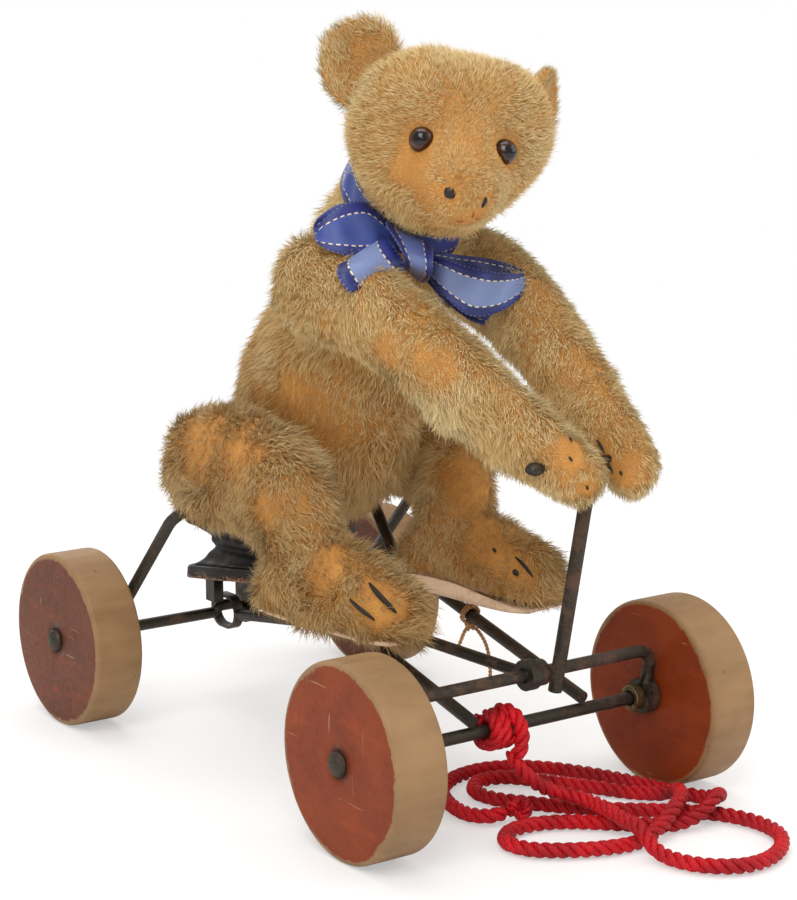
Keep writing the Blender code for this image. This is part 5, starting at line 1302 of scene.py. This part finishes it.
class TOY_OT_stage(Builder):
    """Set up the pale floor, the soft lamps and the camera at the photograph's angle"""
    bl_idname = "toy.stage"
    bl_label = "Stage"

    def build(self, context):
        scene = context.scene
        scene.view_settings.view_transform = "Standard"
        data = bpy.data.cameras.new("camera")
        data.lens, data.sensor_width = CAMERA_LENS, 36
        camera = add("camera", data)
        turn, rise, roll = (radians(angle) for angle in CAMERA_ANGLES)
        back = Vector((sin(turn) * cos(rise), -cos(turn) * cos(rise), sin(rise)))
        right = Vector((cos(turn), sin(turn), 0))
        up = back.cross(right)
        axes = Matrix((right * cos(roll) + up * sin(roll), up * cos(roll) - right * sin(roll), back))
        camera.matrix_world = Matrix.Translation(CAMERA_PLACE) @ axes.transposed().to_4x4()
        scene.camera = camera

        for name, (place, size, power) in LAMPS.items():
            lamp = bpy.data.lights.new(name, "AREA")
            lamp.size, lamp.energy = size, power
            thing = add(name, lamp)
            thing.location = place
            thing.rotation_euler = (LAMPS_AIM - Vector(place)).to_track_quat("-Z", "Y").to_euler()

        world = bpy.data.worlds.new("studio")
        scene.world = world
        world.use_nodes = True
        w = Tree(world.node_tree)
        seen = w.rays("Is Camera Ray", "Is Transmission Ray").between(0, 1)
        w.shaded(w.blend(seen, w.make("ShaderNodeBackground", None, {0: AMBIENT, 1: AMBIENT_STRENGTH}),
                         w.make("ShaderNodeBackground", None, {0: WHITE, 1: 1.0})), "World")

        f = Finish("paper floor")
        x, y, _ = f.axes()
        far = (x * x + y * y).between(0.12, 0.6)
        paper = f.mix(f.noise(300, 3, 0.5), hue("paper_floor"), hue("paper_floor", 0.985))
        matt = f.make("ShaderNodeBsdfPrincipled", None,
                      {"Base Color": paper, "Roughness": 0.9, "Specular IOR Level": 0.1})
        glow = f.make("ShaderNodeEmission", None, {0: WHITE, 1: 1.0})
        f.shaded(f.blend(f.rays("Is Camera Ray") * (far * 0.58 + 0.42), matt, glow))
        floor = Shape()
        floor.uvs = [(0, 0), (1, 0), (1, 1), (0, 1)]
        floor.points = [np.array([(6 * u - 3, 6 * v - 3, -0.00005) for u, v in floor.uvs]) / MM]
        floor.faces = [(0, 1, 2, 3)]
        add("floor", floor.mesh("floor", out=False), f.material)


class TOY_OT_cords(Builder):
    """Lay the pull rope with its knots, and the twine that ties the feet"""
    bl_idname = "toy.cords"
    bl_label = "Rope and twine"

    def build(self, context):
        red = yarn("red cotton rope", hue("rope_light"), hue("rope_shade"), 5.2)
        path = rope_path()
        run = lengths(path)[-1]
        rope = laid_rope(evenly(path, int(run * 1.35)))
        rope = add("rope", rope, red, "cart", ["pull_rope"])

        t = np.linspace(0, 1, 90)
        a = 2 * pi * 2.6 * t + 0.6
        wrap = KNOT + np.stack((8.4 * t - WRAP, WRAP * np.sin(a), WRAP * np.cos(a)), 1)
        knot = laid_rope(evenly(wrap, 120), thick=ROPE_THICK * 0.94)
        knot = laid_rope(evenly(through(KNOT_END, 8), 60), knot, 2.0)
        knot = add("axle_knot", knot, red, "cart", ["rope_knot"])

        a = np.linspace(0.35, 2 * pi - 0.35, 90)
        trefoil = np.stack((np.sin(a) + 2 * np.sin(2 * a), np.cos(a) - 2 * np.cos(2 * a), -np.sin(3 * a)), 1)
        end = twisted(evenly(END_KNOT + trefoil * END_KNOT_SIZE, 110), END_KNOT_THICK, 7.0, 3, 7)
        end = add("end_knot", end, red, "cart", ["rope_end_knot"])

        # a darker copy of the twine is its painted shade
        jute = yarn("jute twine", hue("twine"), hue("twine", 0.8), 12.0)
        path = through(TWINE_ROUTE, 8)
        tails = laid_twine(evenly(path, 90))
        tails = add("twine_tails", tails, jute, "cart", ["foot_twine"])
        held = laid_twine(evenly(through(HITCH_LEGS[0], 8), 50))
        held = laid_twine(evenly(through(HITCH_LEGS[1], 8), 50), held, 1.5)
        a = np.linspace(0, 2 * pi * 1.6, 50)
        held = laid_twine(HITCH_RING + np.stack((1.35 * np.cos(a), 1.35 * np.sin(a), 0.12 * a), 1), held)
        held = add("twine_hitch", held, jute, "cart")

        a = np.linspace(0, 2 * pi * 2.2, 90)
        rise, out = a / 6.5 - 1.0, RAIL_WRAP * np.sin(a)
        turns = np.stack((RAIL_WRAP * np.cos(a), rise * cos(RAIL_SLOPE) - out * sin(RAIL_SLOPE),
                          rise * sin(RAIL_SLOPE) + out * cos(RAIL_SLOPE)), 1)
        for side, sign in SIDES.items():
            wrap = turns + (sign * RAIL_TIE[0], *RAIL_TIE[1:])
            add(f"twine_wrap_{side}", laid_twine(wrap), jute, "cart", [f"twine_loop_{side}"])


class TOY_OT_wheels(Builder):
    """Turn the four wooden wheels"""
    bl_idname = "toy.wheels"
    bl_label = "Wheels"

    def build(self, context):
        wood = painted_wood()
        a = np.linspace(0.2, pi / 2, 6)
        inset, drop = WHEEL_EDGE * (1 - np.cos(a)), WHEEL_EDGE * (1 - np.sin(a))
        faces = (ROD + 0.3, 8, 16, 24, WHEEL_RADIUS - WHEEL_EDGE)
        half = [(0, radius, 1) for radius in faces] + [(i, WHEEL_RADIUS - d, 0) for i, d in zip(inset, drop)]
        rim = [(WHEEL_THICK * share, WHEEL_RADIUS, 0) for share in (0.3, 0.5, 0.7)]
        across, radius, face = np.array(half + rim + [(WHEEL_THICK - i, r, k) for i, r, k in half[::-1]]).T
        a = angles(128)[:, None]
        for name, (side, track, y, tone, body) in WHEELS.items():
            x = side * (track - WHEEL_THICK + across)
            grid = np.stack((x + 0 * a, y + np.cos(a) * radius, AXLE_Z + np.sin(a) * radius), -1)
            marks = {"radial": radius / WHEEL_RADIUS + 0 * a, "face": face + 0 * a,
                     "tone": tone + 0 * radius + 0 * a}
            shape = Shape().loft(grid, closed=True, marks=marks)
            add(f"{name}_wood", shape, wood, body, [name])


BAR_END = 0.0064  # how much of the handlebar's end is squashed, in metres
IRON = {
    "cart": ("front_axle", "front_washer_right", "front_washer_left", "rear_washer_right", "rear_washer_left",
             "rail_right", "rail_left", "rear_bail", "seat_hanger"),
    "rear_axle": ("rear_axle",), "swing": ("swing_bail", "lever", "lever_collar", "handlebar"),
    "connecting_rod": ("connecting_rod",),
}


def flatten_ends(data):
    """Give the handlebar's ball ends the squashed shape of peened metal."""
    pts = points_of(data)
    low, high = pts.min(0), pts.max(0)
    middle = (high + low) / 2
    end = np.abs(pts[:, 0] - middle[0]) > (high - low)[0] / 2 - BAR_END
    pts[end] = middle + (pts[end] - middle) * (1, 0.9, 0.66)
    set_points(data, pts)


class TOY_OT_ironwork(Builder):
    """Dress the rods, axles, washers and collars in old iron and brass"""
    bl_idname = "toy.ironwork"
    bl_label = "Ironwork"

    def build(self, context):
        iron, rusty = old_iron(), old_iron("rusted iron", 0.8)
        steel = old_iron("worn bright steel", 0.0)
        for body, nodes in IRON.items():
            for node in nodes:
                finish = rusty if body == "swing" or "washer" in node else iron
                data, slot = refined_copy(node), "iron"
                if node == "handlebar":
                    finish, slot = steel, "steel_bright"
                    flatten_ends(data)
                add(f"{node}_iron", data, finish, body, [node])
        brass = aged_brass()
        for node in ("front_collar_right", "front_collar_left"):
            add(f"{node}_brass", refined_copy(node, 0.0005), brass, "cart", [node])


def on_lower_board(place):
    """The place on the tilted lower board's top that a place on the upper board closes against."""
    ahead = BOARD_REAR - place[1]
    tilt, rise = BOARD_TILT, BOARD_THICK
    return np.array((place[0], BOARD_REAR - ahead * cos(tilt) - rise * sin(tilt),
                     LOWER_BOARD_Z + ahead * sin(tilt) + rise * cos(tilt)))


class TOY_OT_bellows(Builder):
    """Cover the bellows boards and fold the leather between them"""
    bl_idname = "toy.bellows"
    bl_label = "Bellows"

    def build(self, context):
        torn, black = leatherette(True), leatherette(False)
        for name, finish, body in (("lower", torn, "cart"), ("upper", black, "torso")):
            node = f"bellows_{name}_board"
            add(f"{name}_board", refined_copy(node, 0.0009), finish, body, [node])
        rings = []
        for share in np.linspace(0, 1, 19):
            inset = 1.5 + sin(pi * share) ** 0.8 * WAIST_DEPTH
            inset += FOLD_DEPTH * sin(2 * pi * share * FOLDS) * sin(pi * share)
            side, front, rear = BOARD_HALF_WIDTH - inset, BOARD_FRONT + inset + 1, BOARD_REAR - inset - 1
            corner = FOLD_CORNER
            ring = []
            for k, (x, y) in enumerate(((side - corner, rear - corner), (corner - side, rear - corner),
                                        (corner - side, front + corner), (side - corner, front + corner))):
                for a in (k + np.arange(9) / 8) * pi / 2:
                    high = np.array((x + corner * cos(a), y + corner * sin(a), UPPER_BOARD_Z))
                    ring.append(on_lower_board(high) * (1 - share) + high * share)
            rings.append(ring)
        leather = add("bellows_folds", Shape().loft(rings), black)
        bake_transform(leather)
        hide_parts("bellows_leather")


class TOY_OT_bear(Builder):
    """Sew and stuff the bear's body, limbs, head and ears, and give them soles and joint discs"""
    bl_idname = "toy.bear"
    bl_label = "Bear"

    def build(self, context):
        cloth = backing_cloth()
        made = {"torso_plush": make_torso(), "head_plush": make_head()}
        for side in SIDES:
            made |= {f"{side}_arm_plush": make_arm(side), f"{side}_leg_plush": make_leg(side),
                     f"{side}_ear_plush": make_ear(side)}
        for name, data in made.items():
            body, node = SKINS[name][:2]
            thing = add(name, data, cloth, body, [node])
            thing.data.shade_smooth()
            dress_for_pile(thing)
        felt, paper, pin = felt_cloth(), card(), old_iron("joint pin", 0.4)
        for side in SIDES:
            add(f"{side}_felt_sole", sole_shape(side), felt, "cart", [f"{side}_sole"])
        add("left_felt_side", felt_side(), felt, "cart")
        for node, thing in frame["nodes"].items():
            if "_disc" in node or node in ("shoulder_pin_right", "shoulder_pin_left", "neck_pin"):
                thing.data.materials.clear()
                thing.data.materials.append(paper if "_disc" in node else pin)


def felt_side():
    """The felt of the left foot where its sole turns up at the inner side."""
    heel, sole, across = foot_axes("left")
    rings = []
    for share, half, _ in through(FOOT, 8):
        if not 0.03 <= share <= 0.965:
            continue
        rise = SOLE_TURN_UP * max(0.08, sin(pi * min(1, share * 0.92 + 0.1)))
        rings.append([heel + sole * share + across * (half * out + more) + (0, 0, z) for out, more, z in (
            (0.7, 0, 0.05), (1.0, 1.1, 0.05), (1.0, 1.7, 0.5), (1.0, 1.5, rise * 0.5), (1.0, 1.0, rise),
            (1.0, 0.3, rise + 0.5), (0.9, 0, rise * 0.7 + 0.6), (0.75, 0, 1.2))])
    return Shape().loft(rings)


def sole_shape(side):
    """A felt sole with a softly rounded edge."""
    heel, sole, across = foot_axes(side)
    share = 0.93 if side == "left" else 0.76  # the right one lies hidden in the pile
    curve = through([(s, h * share) for s, h, _ in FOOT], 4)
    edge = [heel + sole * s + across * h for s, h in curve]
    edge += [heel + sole * s - across * h for s, h in curve[::-1]]
    edge = evenly(np.array(edge + edge[:1]), 81)[:-1]
    middle = edge.mean(0)
    rounding = ((0.0, 0.6), (0.0, 0.93), (0.15, 0.975), (0.5, 1.0), (0.95, 1.0), (1.28, 0.975),
                (SOLE_THICK, 0.93), (SOLE_THICK, 0.6))
    rings = [middle + (edge - middle) * grow + (0, 0, rise) for rise, grow in rounding]
    return Shape().loft(rings)


class TOY_OT_pile(Builder):
    """Grow the mohair pile on the bear"""
    bl_idname = "toy.pile"
    bl_label = "Mohair pile"

    def build(self, context):
        group, tufts, finish = pile_nodes(), make_tufts(), mohair()
        grown = {}
        for seed, (name, (body, _, length, thickness, _)) in enumerate(SKINS.items(), 20):
            skin = bpy.data.objects[name]
            share = 1.0
            data = grow_pile(skin, group, tufts, finish, seed, length, thickness * share)
            piece = "ear_pile" if "ear" in name else name.replace("plush", "pile")
            grown.setdefault((piece, body), []).append(data)
            forget(skin.data, "pile_share", "pile_length", "comb")
        for (piece, body), meshes in grown.items():
            data = joined(piece, meshes)
            data.shade_smooth()
            add(piece, data, finish, body)
        for thing in list(tufts.objects):
            bpy.data.objects.remove(thing)
        bpy.data.collections.remove(tufts)


def stitches(name, rows, finish, body):
    """Short thick stitches, each tapering to both ends."""
    shape = Shape()
    taper = np.sqrt(np.sin(np.linspace(0.12, pi - 0.12, 14)))
    for *places, half in rows:
        shape.tube(evenly(through(places, 8), 14), half * taper, 10)
    return add(name, shape.mesh(name, shift=False), finish, body)


class TOY_OT_face(Builder):
    """Set the glass eyes and sew the nose, mouth and claws"""
    bl_idname = "toy.face"
    bl_label = "Eyes and stitches"

    def build(self, context):
        glass = glass_eye()
        turn = head_turn()
        a = angles(48)
        tilt = np.linspace(0.03, pi - 0.03, 40)
        for side, sign in SIDES.items():
            axis = unit(turn @ unit((sign * 0.34, -1, 0.02)))
            u = unit(np.cross(axis, (0, 0, 1)))
            round_about = np.outer(np.cos(a), u) + np.outer(np.sin(a), np.cross(axis, u))
            middle = np.sum(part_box(f"{side}_eye"), 0) / 2 / MM
            rings = [middle + EYE_RADIUS * (axis * cos(t) + round_about * sin(t)) for t in tilt]
            shape = Shape().loft(rings, marks={"off_axis": np.repeat(tilt / pi, len(a))})
            add(f"{side}_glass_eye", shape.mesh(f"{side}_glass_eye", shift=False), glass, "head",
                [f"{side}_eye"])
        dark = thread("black stitching", hue("stitching"))
        stitches("nostrils", NOSTRILS, dark, "head")
        stitches("mouth_stitches", MOUTH, thread("faded mouth thread", hue("mouth_thread")), "head")
        for body, rows in CLAWS.items():
            stitches(f"{body}_claws", rows, dark, body)


def ribbon_sheet(name, edges, finish, pale, waves=0.35, rows=9):
    """A length of ribbon between two edge lines in the frame's own millimetres, with its width and length."""
    fine = through(np.reshape(edges, (len(edges), 6)), 12)
    a, b = fine[:, :3], fine[:, 3:]
    along = lengths((a + b) / 2)
    shape = Shape()
    ways = unit(np.gradient((a + b) / 2, axis=0))
    face = unit(np.cross(ways, b - a))
    share = np.linspace(0, 1, rows)
    ripple = np.sin(along[:, None] * 0.55 + share[None] * 4) * waves * np.sin(share * pi)[None]
    grid = a[:, None] + (b - a)[:, None] * share[None, :, None] + face[:, None] * ripple[..., None]
    shape.points = [grid.reshape(-1, 3)]
    for i in range(len(along) - 1):
        for j in range(rows - 1):
            corners = ((i, j), (i, j + 1), (i + 1, j + 1), (i + 1, j))
            shape.faces.append([row * rows + k for row, k in corners])
            shape.uvs += [(share[k], along[row]) for row, k in corners]
    tone = np.interp(np.linspace(0, 1, len(along)), np.linspace(0, 1, len(pale)), pale)
    shape.marks = {"pale": [np.repeat(tone, rows)]}
    thing = add(name, shape.mesh(name, shift=False, out=False), finish)
    thick = thing.modifiers.new("cloth", "SOLIDIFY")
    thick.thickness, thick.offset = RIBBON_THICK * MM, 0
    settle(thing)
    thing.data.shade_smooth()
    width = np.linalg.norm(b - a, axis=1).mean()
    return thing, width, along[-1]


class TOY_OT_ribbon(Builder):
    """Tie the satin ribbon round the neck with its bow"""
    bl_idname = "toy.ribbon"
    bl_label = "Ribbon"

    def build(self, context):
        satin = satin_ribbon()
        down = np.array((0, -cos(NECK_LEAN), -sin(NECK_LEAN)))
        centre = NECK - BAND_BACK * down + FORWARD / MM
        edges = [[centre + neck_axis() * rise + ((BAND_HALF_WIDTH + grow) * cos(t), 0, 0)
                  + down * (BAND_HALF_DEPTH + grow) * sin(t) for rise, grow in BAND_EDGES]
                 for t in np.linspace(0, 2 * pi, 33) + pi / 2]
        thing, width, length = ribbon_sheet("neck_band", edges, satin, (0.0, 0.0), 0.5)
        strips, area = [], 0.0
        for name, rows in BOW_PIECES.items():
            strip, wide, long = ribbon_sheet(name, rows, satin, BOW_TONES[name])
            strips.append(strip)
            area += wide * long
        bow = add("bow", joined("bow", [s.data for s in strips]), satin)
        bow.data.shade_smooth()
        for strip in strips:
            bpy.data.objects.remove(strip)
        for piece, flat, held, under in ((thing, (width, length), "stretched", "torso"),
                                         (bow, (RIBBON_WIDE, area / RIBBON_WIDE), "folded", "neck_band")):
            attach(piece, "torso")
            flat[0] * MM
            flat[1] * MM
        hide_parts("neck_ribbon")
        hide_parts("ribbon_bow")


class TOY_PT_panel(bpy.types.Panel):
    """Sizes, colours and building steps of the pull toy"""
    bl_idname = "TOY_PT_panel"
    bl_label = "Pull toy"
    bl_space_type = "VIEW_3D"
    bl_region_type = "UI"
    bl_category = "Pull Toy"

    def draw(self, context):
        layout = self.layout
        for group in (context.scene.toy_sizes, context.scene.toy_colours):
            box = layout.box()
            for key in group.__annotations__:
                box.prop(group, key)
        for step in STEPS:
            layout.operator(step.bl_idname)


STEPS = (TOY_OT_stage, TOY_OT_cords, TOY_OT_wheels, TOY_OT_ironwork, TOY_OT_bellows, TOY_OT_bear, TOY_OT_pile,
         TOY_OT_face, TOY_OT_ribbon)
CLASSES = (ToyColours, ToySizes, *STEPS, TOY_PT_panel)


def register():
    for item in CLASSES:
        bpy.utils.register_class(item)
    bpy.types.Scene.toy_colours = bpy.props.PointerProperty(type=ToyColours)
    bpy.types.Scene.toy_sizes = bpy.props.PointerProperty(type=ToySizes)


def unregister():
    del bpy.types.Scene.toy_sizes
    del bpy.types.Scene.toy_colours
    for item in reversed(CLASSES):
        bpy.utils.unregister_class(item)


def main():
    register()
    for step in STEPS:
        if getattr(bpy.ops.toy, step.bl_idname.removeprefix("toy."))() != {"FINISHED"}:
            raise RuntimeError(f"{step.bl_label} didn't finish")


if __name__ == "__main__":
    main()
